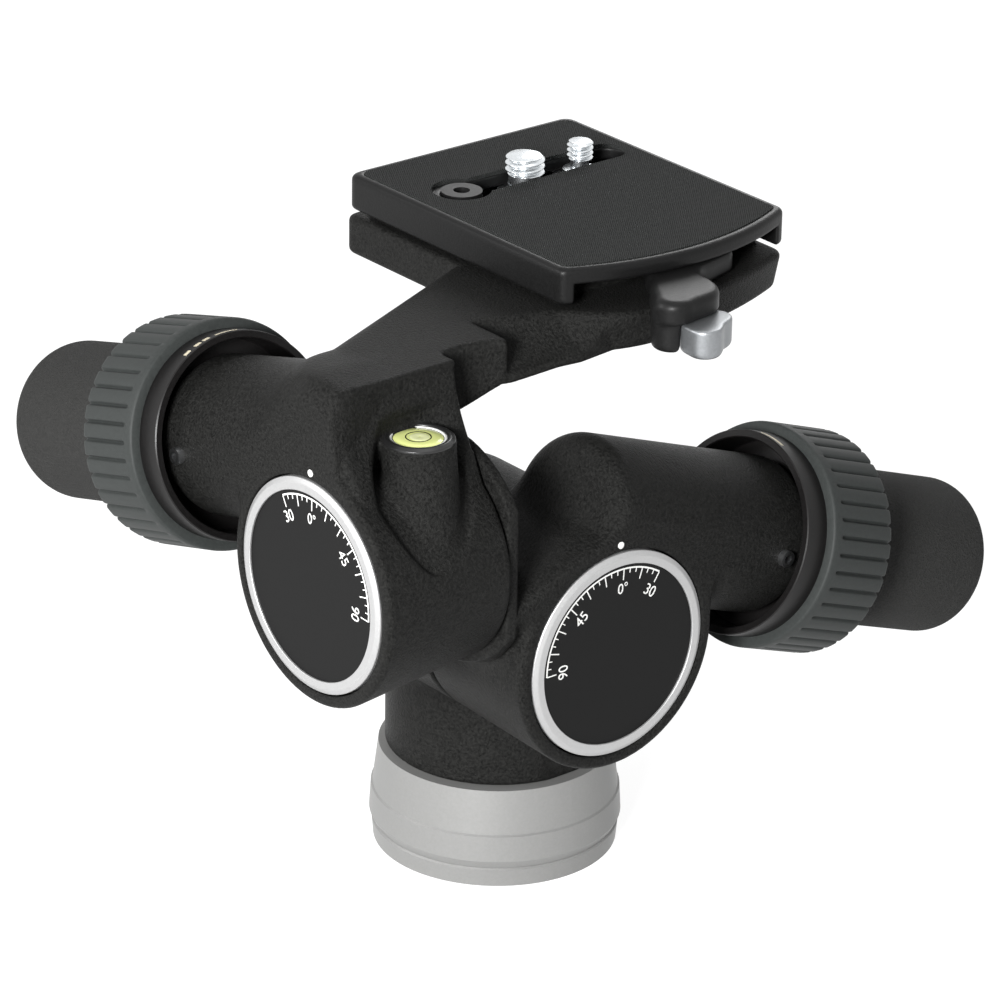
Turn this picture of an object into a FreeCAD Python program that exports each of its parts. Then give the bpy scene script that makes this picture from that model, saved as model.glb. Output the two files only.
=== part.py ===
import FreeCAD, Part
import math
import os

# Geared three-axis tripod head.  Millimetres.  The origin is the centre of the base's flat
# underside, on the axis of the tripod thread.  +Z is up and is the pan axis, the lower tilt
# turns about an axis along X, and the upper tilt about an axis along Y.

V = FreeCAD.Vector
X_AXIS = V(1, 0, 0)
Y_AXIS = V(0, 1, 0)
Z_AXIS = V(0, 0, 1)
ORIGIN = V(0, 0, 0)

# ---------------------------------------------------------------- driving sizes
# running and seating clearances
SEAM_GAP = 0.4             # between two castings that turn against each other
RUN_CLEARANCE = 0.05       # radial, a shaft or spigot in its bush or bore
FREE_CLEARANCE = 0.4       # around parts that move inside a casting
EDGE_R = 0.8               # softened edges of small parts

# base
BASE_FOOT_R = 30.0
BASE_WIDEST_R = 31.0
BASE_TOP_R = 28.8
BASE_FOOT_H = 4.8
BASE_WIDEST_Z = 7.0
BASE_LINE_Z = 13.9
BASE_H = 25.1
BASE_LINE_CUT = 0.4
THREAD_HOLE_R = 3.97       # 3/8-16 tripod thread, over its crests
THREAD_HOLE_DEPTH = 13.0
INSERT_R = 7.5
INSERT_H = 16.0

# pan body
PAN_R = 27.2
PAN_WORM_Z = 42.0
PAN_ROOF_Z = 58.0
PAN_PLATE_H = 6.0
BOSS_R = 27.8
BOSS_BACK_X = -9.0
BOSS_BACK_R = 10.0
BOSS_NEAR_Y = -39.5       # flat on the boss that clears the upper collar
BOSS_FLAT_X = 0.0
THRUST_WASHER_R = 20.0
TILT_SHAFT_SEAT = 30.0     # length of the lower tilt shaft inside the boss
NUT_FLATS = 19.0
NUT_H = 3.0

# lower tilt unit: wheel axis along X
LOWER_AXIS_Y = -16.5
LOWER_AXIS_Z = 77.2
LOWER_FACE_X = 64.4
LOWER_KNOB_DROP = 20.2     # degrees that the knob points below level

# upper tilt unit: wheel axis along Y
UPPER_AXIS_X = 40.7
UPPER_AXIS_Z = 105.7
UPPER_FACE_Y = -87.9
UPPER_KNOB_DROP = 15.4

# worm gear, the same in all three units
CENTRE_DISTANCE = 27.2
WORM_PITCH_R = 6.0
WHEEL_TEETH = 48
WHEEL_WIDTH = 9.0
WHEEL_HUB_R = 12.0
WHEEL_HUB_LENGTH = 14.0
TOOTH_HEIGHT = 0.75        # above the pitch line, and below it before the root clearance
ROOT_CLEARANCE = 0.35
BACKLASH = 0.36            # free play on each flank, on the pitch line
FLANK_ANGLE = 20.0
THREAD_TURNS_BACK = 2      # worm thread on the closed side of the wheel's axis
THREAD_TURNS_FRONT = 3
WORM_BACK = 6.6
WORM_FRONT = 9.6
SHAFT_R = 8.0              # tilt shafts and pan spindle
BUSH_WALL = 2.0

# wheel housings of the tilt units
HOUSING_R = 28.8
HOUSING_SEAM_R = 25.8      # upper case, at its seam
WORM_INSET = 18.9          # worm axis behind the dial face, and the tube's radius
CHAMBER_R = 23.6
CHAMBER_BACK = 8.0
CAP_THICKNESS = 5.0
RIM_SETBACK = 0.5          # casting's front face behind the dial ring's face
DIAL_RING_R = 25.26
DIAL_RING_INNER_R = 22.27
DIAL_RING_H = 2.5
DIAL_FLANGE_H = 1.0
DIAL_SINK = 0.5            # dial face below its ring
INDEX_R = 0.85
INDEX_OFFSET = 27.4        # from the wheel's axis
INDEX_PROUD = 0.15
INDEX_DEPTH = 1.5

# worm tube, cartridge, collar and knob; stations along the tube start at the wheel's axis
TUBE_BACK_WALL = 2.0
TUBE_BACK_R = 5.0
TUBE_END = 53.0
SPIGOT_LENGTH = 16.5
JOURNAL_R = 3.4
JOURNAL_LENGTH = 3.0
RELEASE_TRAVEL = 1.8       # lift that takes the worm off its wheel
CARTRIDGE_WALL = 3.3
KNOB_SHAFT_R = 4.0
OUTER_BUSH_LENGTH = 8.0
COLLAR_MOUTH = 44.1
COLLAR_MOUTH_GAP = 3.8
COLLAR_WALL = 1.9
COLLAR_WEB = 17.6
GRIP_START = 50.6
GRIP_WALL = 2.6
GRIP_RIBS = 40
GRIP_RIB_DEPTH = 0.5
GRIP_RIB_SHARE = 0.45      # of the spacing that a groove takes
KNOB_GAP = 0.7
KNOB_R = 19.1
KNOB_LENGTH = 46.3
KNOB_WALL = 3.0
KNOB_HUB_R = 7.5
KNOB_EDGE_R = 8.0
KNOB_END_WALL = 9.0
SET_SCREW_R = 2.0
SET_SCREW_HEX_R = 1.1
SET_SCREW_DEPTH = 2.6
SET_SCREW_PROUD = 1.0

# pan gear: a slimmer and shorter copy
PAN_CARTRIDGE_WALL = 1.5
PAN_SPIGOT_WALL = 1.6
SPIGOT_WALL = 2.95
PAN_SPIGOT_STEP = 2.8
PAN_COLLAR_MOUTH_GAP = 2.2
PAN_COLLAR_WALL = 1.6
PAN_KNOB_R = 16.0
PAN_KNOB_LENGTH = 30.0
PAN_SHORTER = 11.0
PAN_FULL_FROM = -3.0       # the tube is slimmer behind this station

# lower housing's flange that carries the upper unit
FLANGE_R = 28.0
FLANGE_T = 3.0
ARM_ROOT_R = 27.0
ARM_TIP_R = 21.0
ARM_LENGTH = 27.0
ARM_TOP_Z = 97.0
SHAFT_BOSS_R = 12.5
SHAFT_BOSS_LENGTH = 11.0

# upper casting: shoulder above the wheel, arm and clamp bed
BED_TOP = 152.6
BED_T = 9.8
BED_LEFT_X = -42.5
BED_NEAR_Y = -14.5
BED_FAR_Y = 53.6
BED_NOSE_X = 49.2
BED_NOSE_Y = -2.0
BED_NOSE_MID_X = 47.4
BED_NOSE_MID_Y = 26.0
BED_NOSE_FAR_X = 38.8
ARM_FOOT_T = 13.7
ARM_FOOT_Y = -39.5
ARM_NECK_X = 14.0
ARM_LEFT_X = -3.4
ARM_HEEL_X = 21.5
ARM_HEEL_Y = -72.0
ARM_FRONT_X = 46.4
ARM_BEVEL_X = 34.0         # where the bevel on the arm's right side leaves its top
ARM_BEVEL_Y = -32.0
SHOULDER_LEFT_X = 26.0
SHOULDER_LEAN = 30.0       # the wall's, from upright, between the case and its bend
SHOULDER_BEND_Z = 142.8
SHOULDER_WAIST_Y = -76.0
SHOULDER_FRONT_TOP_X = 47.8
SHOULDER_WAIST_TOP_X = 46.4
SHOULDER_SEAM_TOP_X = 45.6
SHOULDER_FRONT_DROP = 4.0
SHOULDER_FRONT_DEPTH = 5.0
RAIL_MARGIN = 0.3          # between the bed's rails and the plate's flanges
RAIL_LEFT_X = -39.0
RAIL_RIGHT_X = 31.0

# bubble level in its pocket on the shoulder
LEVEL_X = 51.3
LEVEL_Y = -66.5
LEVEL_TOP = 139.6
LEVEL_R = 6.9
LEVEL_DEPTH = 5.0
LEVEL_RING_R = 7.8
LEVEL_POST_R = 8.6
LEVEL_POCKET_R = 12.6
LEVEL_POCKET_X = 57.6
LEVEL_POCKET_FLOOR = 116.0
LEVEL_POCKET_WALL = 2.6    # left between the pocket and the wheel chamber

# quick-release plate
PLATE_LEFT_X = -42.9
PLATE_CORNER_X = 36.8
PLATE_NOSE_X = 45.2
PLATE_NEAR_Y = -13.4
PLATE_FAR_Y = 54.9
PLATE_LIFT = 1.2           # flanges' lower edge above the bed
PLATE_DECK = 4.0
PLATE_FLANGE_H = 8.8
PLATE_FLANGE_W = 3.4
PLATE_CORNER_R = 2.5
PAD_INSET = 2.2
PAD_SINK = 0.8             # depth of the pad's recess
PAD_PROUD = 0.2
SLOT_X = -17.3
SLOT_W = 9.9
SLOT_NEAR_Y = 1.0
SLOT_FAR_Y = 45.5
SLOT_EYE_R = 7.2
SLOT_BUSH_HOLE_R = 2.0
HEAD_ROOM = 1.6            # beside the screw heads, between the bed's rails

# camera screws, which slide in the slot
SCREW_PROUD = 4.4          # above the pad
BIG_SCREW_Y = 20.3
BIG_SCREW_R = 4.76         # 3/8 inch thread
BIG_HEAD_R = 6.8
SMALL_SCREW_Y = 37.4
SMALL_SCREW_R = 3.175      # 1/4 inch thread
SMALL_HEAD_R = 5.6
SCREW_HEAD_H = 2.6
SCREW_GROOVES = 3
SCREW_GROOVE_DEPTH = 0.45
SCREW_GROOVE_PITCH = 1.3
SCREW_NECK_STEP = 0.9      # neck's radius below the thread's
SCREW_SHOULDER_R = 4.1     # turns in the washer
SCREW_SHOULDER_H = 2.6
SCREW_WASHER_R = 6.6
SCREW_WASHER_H = 0.8

# release lever and its safety catch
LEVER_PIVOT_X = 37.5
LEVER_PIVOT_Y = 31.0
LEVER_EYE_R = 5.5
LEVER_PIN_R = 2.2
LEVER_ELBOW_X = 50.2
LEVER_ELBOW_Y = 12.4
LEVER_ELBOW_R = 6.2
LEVER_TIP_X = 55.4
LEVER_TIP_Y = 4.2
LEVER_TIP_R = 4.6
LEVER_TAB_DROP = 7.2       # thumb tab's end below the bed's top
LEVER_TAB_FAR_Y = 3.6
LEVER_GAP = 0.3            # above and below the lever
CATCH_PIVOT_X = 54.4
CATCH_PIVOT_Y = 10.8
CATCH_PIN_R = 1.5
CATCH_PIN_LENGTH = 3.9
CATCH_FOOT_R = 3.0
CATCH_H = 7.1
CATCH_R = 3.6
CATCH_FAR_X = 60.2
CATCH_FAR_Y = 13.0
CATCH_NOSE_X = 63.6
CATCH_NOSE_Y = 7.2
CATCH_HEEL_R = 2.8
CATCH_HEEL_X = 60.6
CATCH_HEEL_Y = 6.8

# ---------------------------------------------------------------- sizes that follow
tooth_pitch = 2 * math.pi * (CENTRE_DISTANCE - WORM_PITCH_R) / WHEEL_TEETH
tooth_thickness = tooth_pitch / 2 - BACKLASH
tooth_root = TOOTH_HEIGHT + ROOT_CLEARANCE
flank = math.tan(math.radians(FLANK_ANGLE))
wheel_pitch_r = CENTRE_DISTANCE - WORM_PITCH_R
wheel_tip_r = wheel_pitch_r + TOOTH_HEIGHT
worm_tip_r = WORM_PITCH_R + TOOTH_HEIGHT
worm_core_r = WORM_PITCH_R - tooth_root
worm_chamber_r = worm_tip_r + FREE_CLEARANCE

bush_seat_r = SHAFT_R + RUN_CLEARANCE + BUSH_WALL
cap_front = WORM_INSET - DIAL_RING_H - DIAL_FLANGE_H - SEAM_GAP
chamber_front = cap_front - CAP_THICKNESS
dial_back = WORM_INSET - DIAL_RING_H - DIAL_FLANGE_H

cartridge_back = -(WORM_BACK + FREE_CLEARANCE + JOURNAL_LENGTH)
bore_back = cartridge_back - FREE_CLEARANCE
tube_back = bore_back - TUBE_BACK_WALL

lower_worm_x = LOWER_FACE_X - WORM_INSET
lower_seam_x = lower_worm_x - WORM_INSET
boss_face_x = lower_seam_x - SEAM_GAP
upper_worm_y = UPPER_FACE_Y + WORM_INSET
upper_seam_y = upper_worm_y + WORM_INSET
flange_face_y = upper_seam_y + SEAM_GAP
bed_bottom = BED_TOP - BED_T
plate_bottom = BED_TOP + PLATE_LIFT
plate_top = plate_bottom + PLATE_FLANGE_H
deck_bottom = plate_top - PLATE_DECK
pad_bottom = plate_top - PAD_SINK
pad_top = plate_top + PAD_PROUD
lever_bottom = BED_TOP + LEVER_GAP
catch_bottom = BED_TOP - CATCH_H

os.makedirs("parts", exist_ok=True)


# ---------------------------------------------------------------- helpers
def save(shape, name):
    """Write one sub-part, as one clean solid, to its own file."""
    shape.removeSplitter().exportStep("parts/" + name + ".step")


def rod(radius, length, base, axis):
    return Part.makeCylinder(radius, length, base, axis)


def ring(outer, inner, length, base, axis):
    return rod(outer, length, base, axis).cut(rod(inner, length, base, axis))


def block(low, high):
    return Part.makeBox(high[0] - low[0], high[1] - low[1], high[2] - low[2], V(*low))


def prism(points, height):
    """Flat outline, pushed along a vector."""
    wire = Part.makePolygon(points + [points[0]])
    return Part.Face(wire).extrude(height)


def turned(profile, base, axis, side):
    """Solid of revolution; the profile is (distance along the axis, radius)."""
    points = [base + axis * along + side * radius for along, radius in profile]
    wire = Part.makePolygon(points + [points[0]])
    return Part.Face(wire).revolve(base, axis, 360)


def rounded(shape, radius, wanted):
    """Fillet the edges that the test picks."""
    edges = [edge for edge in shape.Edges if wanted(edge)]
    return shape.makeFillet(radius, edges)


def rim_at(base, axis, distance, radius):
    """Test for a whole circular edge at one station of an axis."""
    centre = base + axis * distance

    def test(edge):
        curve = edge.Curve
        return (isinstance(curve, Part.Circle) and curve.Center.distanceToPoint(centre) < 0.01
                and abs(curve.Radius - radius) < 0.01)
    return test


def upright_edge(edge):
    """Test for a straight edge along Z."""
    if not isinstance(edge.Curve, Part.Line):
        return False
    start, end = (vertex.Point for vertex in edge.Vertexes)
    return math.hypot(start.x - end.x, start.y - end.y) < 0.01


def joined(first, *others):
    shape = first
    for other in others:
        shape = shape.fuse(other)
    return shape


# ---------------------------------------------------------------- geared unit
class Unit:
    """One worm gear in its own frame: x along the knob, y along the wheel's axis, z from the
    wheel's axis to the worm's.  place() carries a shape into the head."""

    def __init__(self, name, origin, knob, lift, dial, tube_r, full_from, cartridge_wall, spigot_wall,
                 mouth_gap, collar_wall, knob_r, knob_length, shorter):
        side = lift.cross(knob)
        self.name = name
        self.front = Y_AXIS * side.dot(dial)
        self.matrix = FreeCAD.Matrix(knob.x, side.x, lift.x, origin.x,
                                     knob.y, side.y, lift.y, origin.y,
                                     knob.z, side.z, lift.z, origin.z,
                                     0, 0, 0, 1)
        self.cartridge_r = worm_chamber_r + cartridge_wall
        self.bore_r = self.cartridge_r + RUN_CLEARANCE
        self.spigot_r = self.bore_r + RELEASE_TRAVEL + spigot_wall
        self.tube_r = tube_r
        self.full_from = full_from
        self.tube_end = TUBE_END - shorter
        self.spigot_end = self.tube_end + SPIGOT_LENGTH
        self.mouth = COLLAR_MOUTH - shorter
        self.mouth_r = tube_r + mouth_gap
        self.collar_r = self.mouth_r + collar_wall
        self.grip_r = self.collar_r + GRIP_WALL
        self.grip_start = GRIP_START - shorter
        self.web_start = self.tube_end + SEAM_GAP
        self.collar_end = self.web_start + COLLAR_WEB
        self.cartridge_end = self.spigot_end - SEAM_GAP
        self.knob_start = self.collar_end + KNOB_GAP
        self.knob_r = knob_r
        self.knob_end = self.knob_start + knob_length

    def place(self, shape):
        return shape.transformed(self.matrix)

    def station(self, along):
        """Point on the worm's axis."""
        return V(along, 0, CENTRE_DISTANCE)

    def tube(self):
        """Closed tube of the casting, with the spigot that carries the collar."""
        body = rod(self.tube_r, self.tube_end - self.full_from, self.station(self.full_from), X_AXIS)
        body = rounded(body, TUBE_BACK_R, rim_at(self.station(0), X_AXIS, self.full_from, self.tube_r))
        spigot = rod(self.spigot_r, self.spigot_end - tube_back, self.station(tube_back), X_AXIS)
        return self.place(body.fuse(spigot))

    def bore(self):
        """Slotted bore in which the cartridge can lift off the wheel."""
        length = self.spigot_end - bore_back
        low = rod(self.bore_r, length, self.station(bore_back), X_AXIS)
        high = low.translated(Z_AXIS * RELEASE_TRAVEL)
        middle = block((bore_back, -self.bore_r, CENTRE_DISTANCE),
                       (self.spigot_end, self.bore_r, CENTRE_DISTANCE + RELEASE_TRAVEL))
        return self.place(joined(low, high, middle))

    def wheel_chamber(self):
        return self.place(rod(CHAMBER_R, CHAMBER_BACK + cap_front, self.front * -CHAMBER_BACK, self.front))

    def dial_recess(self):
        return self.place(rod(DIAL_RING_R + FREE_CLEARANCE, WORM_INSET - cap_front,
                              self.front * cap_front, self.front))

    def shaft_bore(self, radius):
        return self.place(rod(radius, 2 * WORM_INSET, self.front * -WORM_INSET, self.front))

    def wheel(self):
        """Straight-toothed wheel with a gap on the line to the worm."""
        outline = []
        step = 2 * math.pi / WHEEL_TEETH
        tip_half = (tooth_thickness / 2 - TOOTH_HEIGHT * flank) / wheel_tip_r
        root_r = wheel_pitch_r - tooth_root
        root_half = (tooth_thickness / 2 + tooth_root * flank) / root_r
        for tooth in range(WHEEL_TEETH):
            middle = math.pi / 2 + (tooth + 0.5) * step
            for radius, turn in ((root_r, -root_half), (wheel_tip_r, -tip_half),
                                 (wheel_tip_r, tip_half), (root_r, root_half)):
                angle = middle + turn
                outline.append(V(radius * math.cos(angle), -WHEEL_WIDTH / 2, radius * math.sin(angle)))
        body = prism(outline, Y_AXIS * WHEEL_WIDTH)
        hub = rod(WHEEL_HUB_R, WHEEL_HUB_LENGTH, V(0, -WHEEL_HUB_LENGTH / 2, 0), Y_AXIS)
        bore = rod(SHAFT_R, WHEEL_HUB_LENGTH, V(0, -WHEEL_HUB_LENGTH / 2, 0), Y_AXIS)
        return self.place(body.fuse(hub).cut(bore))

    def worm(self):
        """Worm with its thread on the wheel's side of station 0, journals and knob shaft."""
        start = -THREAD_TURNS_BACK * tooth_pitch
        length = (THREAD_TURNS_BACK + THREAD_TURNS_FRONT) * tooth_pitch
        helix = Part.makeHelix(tooth_pitch, length, worm_core_r)
        sunk = 0.2
        base_half = tooth_thickness / 2 + (tooth_root + sunk) * flank
        tip_half = tooth_thickness / 2 - TOOTH_HEIGHT * flank
        section = Part.makePolygon([V(worm_core_r - sunk, 0, -base_half), V(worm_tip_r, 0, -tip_half),
                                    V(worm_tip_r, 0, tip_half), V(worm_core_r - sunk, 0, base_half),
                                    V(worm_core_r - sunk, 0, -base_half)])
        thread = Part.Wire(helix).makePipeShell([section], True, True)
        thread = thread.transformed(FreeCAD.Matrix(0, 0, 1, start,
                                                   0, 1, 0, 0,
                                                   -1, 0, 0, CENTRE_DISTANCE,
                                                   0, 0, 0, 1))
        core = rod(worm_core_r, WORM_BACK + WORM_FRONT, self.station(-WORM_BACK), X_AXIS)
        journal = rod(JOURNAL_R, JOURNAL_LENGTH, self.station(-WORM_BACK - JOURNAL_LENGTH), X_AXIS)
        shaft = rod(KNOB_SHAFT_R, self.knob_end - KNOB_END_WALL - WORM_FRONT,
                    self.station(WORM_FRONT), X_AXIS)
        return self.place(joined(core, thread, journal, shaft))

    def cartridge(self):
        """Sleeve that carries the worm and lifts it off the wheel."""
        body = rod(self.cartridge_r, self.cartridge_end - cartridge_back,
                   self.station(cartridge_back), X_AXIS)
        chamber_back = -(WORM_BACK + FREE_CLEARANCE)
        chamber_end = WORM_FRONT + FREE_CLEARANCE
        chamber = rod(worm_chamber_r, chamber_end - chamber_back, self.station(chamber_back), X_AXIS)
        through = rod(KNOB_SHAFT_R + FREE_CLEARANCE, self.cartridge_end - chamber_end,
                      self.station(chamber_end), X_AXIS)
        back_seat = rod(JOURNAL_R + RUN_CLEARANCE + BUSH_WALL, JOURNAL_LENGTH,
                        self.station(cartridge_back), X_AXIS)
        outer_seat = rod(KNOB_SHAFT_R + RUN_CLEARANCE + BUSH_WALL, OUTER_BUSH_LENGTH,
                         self.station(self.cartridge_end - OUTER_BUSH_LENGTH), X_AXIS)
        half_window = WHEEL_WIDTH / 2 + FREE_CLEARANCE
        window = rod(wheel_tip_r + FREE_CLEARANCE, 2 * half_window, V(0, -half_window, 0), Y_AXIS)
        return self.place(body.cut(joined(chamber, through, back_seat, outer_seat, window)))

    def bushes(self):
        """The worm's back and outer bushes, pressed into the cartridge."""
        back = ring(JOURNAL_R + RUN_CLEARANCE + BUSH_WALL, JOURNAL_R + RUN_CLEARANCE, JOURNAL_LENGTH,
                    self.station(cartridge_back), X_AXIS)
        outer = ring(KNOB_SHAFT_R + RUN_CLEARANCE + BUSH_WALL, KNOB_SHAFT_R + RUN_CLEARANCE,
                     OUTER_BUSH_LENGTH, self.station(self.cartridge_end - OUTER_BUSH_LENGTH), X_AXIS)
        return self.place(Part.makeCompound([back, outer]))

    def collar(self):
        """Release collar: a sleeve over the tube's end with a web that turns on the spigot."""
        body = rod(self.collar_r, self.collar_end - self.mouth, self.station(self.mouth), X_AXIS)
        mouth = rod(self.mouth_r, self.web_start - self.mouth, self.station(self.mouth), X_AXIS)
        bore = rod(self.spigot_r + RUN_CLEARANCE, self.collar_end - self.mouth,
                   self.station(self.mouth), X_AXIS)
        return self.place(body.cut(mouth).cut(bore))

    def grip(self):
        """Ribbed rubber ring on the collar."""
        body = ring(self.grip_r, self.collar_r, self.collar_end - self.grip_start,
                    self.station(self.grip_start), X_AXIS)
        edges = [rim_at(self.station(0), X_AXIS, end, self.grip_r)
                 for end in (self.grip_start, self.collar_end)]
        body = rounded(body, EDGE_R, lambda edge: any(test(edge) for test in edges))
        groove_w = 2 * math.pi * self.grip_r / GRIP_RIBS * GRIP_RIB_SHARE
        land = 2 * EDGE_R
        surface = CENTRE_DISTANCE + self.grip_r
        groove = block((self.grip_start + land, -groove_w / 2, surface - GRIP_RIB_DEPTH),
                       (self.collar_end - land, groove_w / 2, surface + GRIP_RIB_DEPTH))
        grooves = []
        for rib in range(GRIP_RIBS):
            copy = groove.copy()
            copy.rotate(self.station(0), X_AXIS, 360.0 * rib / GRIP_RIBS)
            grooves.append(copy)
        return self.place(body.cut(Part.makeCompound(grooves)))

    def knob(self):
        """Hollow knob with a hub on the worm's shaft and a domed end."""
        length = self.knob_end - self.knob_start
        body = rod(self.knob_r, length, self.station(self.knob_start), X_AXIS)
        body = rounded(body, KNOB_EDGE_R, rim_at(self.station(0), X_AXIS, self.knob_end, self.knob_r))
        body = rounded(body, EDGE_R, rim_at(self.station(0), X_AXIS, self.knob_start, self.knob_r))
        hollow = ring(self.knob_r - KNOB_WALL, KNOB_HUB_R, length - KNOB_END_WALL,
                      self.station(self.knob_start), X_AXIS)
        shaft = rod(KNOB_SHAFT_R, length - KNOB_END_WALL, self.station(self.knob_start), X_AXIS)
        return self.place(body.cut(hollow).cut(shaft))

    def cap(self):
        """Disc that closes the wheel chamber and carries the front bush."""
        return self.place(ring(CHAMBER_R, bush_seat_r, CAP_THICKNESS, self.front * chamber_front, self.front))

    def shaft_bushes(self):
        """Back bush in the casting and front bush in the cap."""
        back = ring(bush_seat_r, SHAFT_R + RUN_CLEARANCE, WORM_INSET - CHAMBER_BACK,
                    self.front * -WORM_INSET, self.front)
        front = ring(bush_seat_r, SHAFT_R + RUN_CLEARANCE, CAP_THICKNESS,
                     self.front * chamber_front, self.front)
        return self.place(Part.makeCompound([back, front]))

    def shaft(self, seat):
        """Tilt shaft, fast in the part behind the seam and in the dial in front."""
        length = WORM_INSET + SEAM_GAP + seat + dial_back
        return self.place(rod(SHAFT_R, length, self.front * dial_back, -self.front))

    def dial_disc(self):
        plate = rod(DIAL_RING_R, DIAL_FLANGE_H, self.front * dial_back, self.front)
        face = rod(DIAL_RING_INNER_R, DIAL_RING_H - DIAL_SINK, self.front * (dial_back + DIAL_FLANGE_H),
                   self.front)
        return self.place(plate.fuse(face))

    def dial_ring(self):
        return self.place(ring(DIAL_RING_R, DIAL_RING_INNER_R, DIAL_RING_H,
                               self.front * (dial_back + DIAL_FLANGE_H), self.front))

    def index_dot(self, lean):
        """Dot set in the housing's face, straight above the wheel's axis."""
        above = V(-INDEX_OFFSET * math.sin(lean), 0, INDEX_OFFSET * math.cos(lean))
        base = above + self.front * (WORM_INSET - RIM_SETBACK - INDEX_DEPTH)
        return self.place(rod(INDEX_R, INDEX_DEPTH + INDEX_PROUD, base, self.front))

    def set_screw_hole(self):
        """Blind hole in the dial side of the tube, at the collar's mouth."""
        start = self.tube_r - SET_SCREW_DEPTH
        return self.place(rod(SET_SCREW_R, 2 * SET_SCREW_DEPTH, self.station(self.mouth) + self.front * start,
                              self.front))

    def set_screw(self):
        """Socket set screw that keeps the cartridge from turning."""
        start = self.tube_r - SET_SCREW_DEPTH
        length = SET_SCREW_DEPTH + SET_SCREW_PROUD
        body = rod(SET_SCREW_R, length, self.station(self.mouth) + self.front * start, self.front)
        corners = []
        for corner in range(6):
            angle = math.radians(60 * corner)
            spot = V(SET_SCREW_HEX_R * math.cos(angle), 0, SET_SCREW_HEX_R * math.sin(angle))
            corners.append(self.station(self.mouth) + spot + self.front * (start + length / 2))
        return self.place(body.cut(prism(corners, self.front * length)))


upper_lean = math.radians(UPPER_KNOB_DROP)
lower_lean = math.radians(LOWER_KNOB_DROP)
tilt_sizes = (WORM_INSET, tube_back, CARTRIDGE_WALL, SPIGOT_WALL, COLLAR_MOUTH_GAP, COLLAR_WALL,
              KNOB_R, KNOB_LENGTH, 0)
pan_cartridge_r = worm_chamber_r + PAN_CARTRIDGE_WALL
pan_tube_r = pan_cartridge_r + RUN_CLEARANCE + RELEASE_TRAVEL + PAN_SPIGOT_WALL + PAN_SPIGOT_STEP
pan_sizes = (pan_tube_r, PAN_FULL_FROM, PAN_CARTRIDGE_WALL, PAN_SPIGOT_WALL, PAN_COLLAR_MOUTH_GAP,
             PAN_COLLAR_WALL, PAN_KNOB_R, PAN_KNOB_LENGTH, PAN_SHORTER)
upper = Unit("upper", V(UPPER_AXIS_X, upper_worm_y, UPPER_AXIS_Z),
             V(-math.cos(upper_lean), 0, -math.sin(upper_lean)),
             V(-math.sin(upper_lean), 0, math.cos(upper_lean)), -Y_AXIS, *tilt_sizes)
lower = Unit("lower", V(lower_worm_x, LOWER_AXIS_Y, LOWER_AXIS_Z),
             V(0, math.cos(lower_lean), -math.sin(lower_lean)),
             V(0, math.sin(lower_lean), math.cos(lower_lean)), X_AXIS, *tilt_sizes)
pan = Unit("pan", V(0, 0, PAN_WORM_Z), Y_AXIS, -X_AXIS, -Z_AXIS, *pan_sizes)


# ---------------------------------------------------------------- base
def make_base():
    profile = [(0, 0), (0, BASE_FOOT_R), (BASE_FOOT_H - BASE_LINE_CUT, BASE_FOOT_R + BASE_LINE_CUT),
               (BASE_FOOT_H, BASE_FOOT_R), (BASE_WIDEST_Z, BASE_WIDEST_R),
               (BASE_LINE_Z - BASE_LINE_CUT, BASE_WIDEST_R - BASE_LINE_CUT),
               (BASE_LINE_Z, BASE_WIDEST_R - 2 * BASE_LINE_CUT),
               (BASE_H, BASE_TOP_R), (BASE_H, 0)]
    body = turned(profile, ORIGIN, Z_AXIS, X_AXIS)
    insert = rod(INSERT_R, INSERT_H, ORIGIN, Z_AXIS)
    spindle = rod(SHAFT_R, BASE_H - INSERT_H, V(0, 0, INSERT_H), Z_AXIS)
    return body.cut(insert).cut(spindle)


def make_insert():
    body = rod(INSERT_R, INSERT_H, ORIGIN, Z_AXIS)
    return body.cut(rod(THREAD_HOLE_R, THREAD_HOLE_DEPTH, ORIGIN, Z_AXIS))


nut_bottom = PAN_WORM_Z + WHEEL_HUB_LENGTH / 2
spindle_top = nut_bottom + NUT_H + EDGE_R
pan_ceiling = spindle_top + FREE_CLEARANCE
pan_bottom = BASE_H + SEAM_GAP
save(make_base(), "base_casting")
save(make_insert(), "tripod_thread_insert")
save(rod(SHAFT_R, spindle_top - INSERT_H, V(0, 0, INSERT_H), Z_AXIS), "pan_spindle")
save(pan.wheel(), "pan_wheel")
save(ring(THRUST_WASHER_R, SHAFT_R, SEAM_GAP, V(0, 0, BASE_H), Z_AXIS), "pan_thrust_washer")


def make_spindle_nut():
    corners = []
    for corner in range(6):
        angle = math.radians(60 * corner)
        reach = NUT_FLATS / 2 / math.cos(math.radians(30))
        corners.append(V(reach * math.cos(angle), reach * math.sin(angle), nut_bottom))
    return prism(corners, Z_AXIS * NUT_H).cut(rod(SHAFT_R, NUT_H, V(0, 0, nut_bottom), Z_AXIS))


save(make_spindle_nut(), "pan_spindle_nut")


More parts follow.
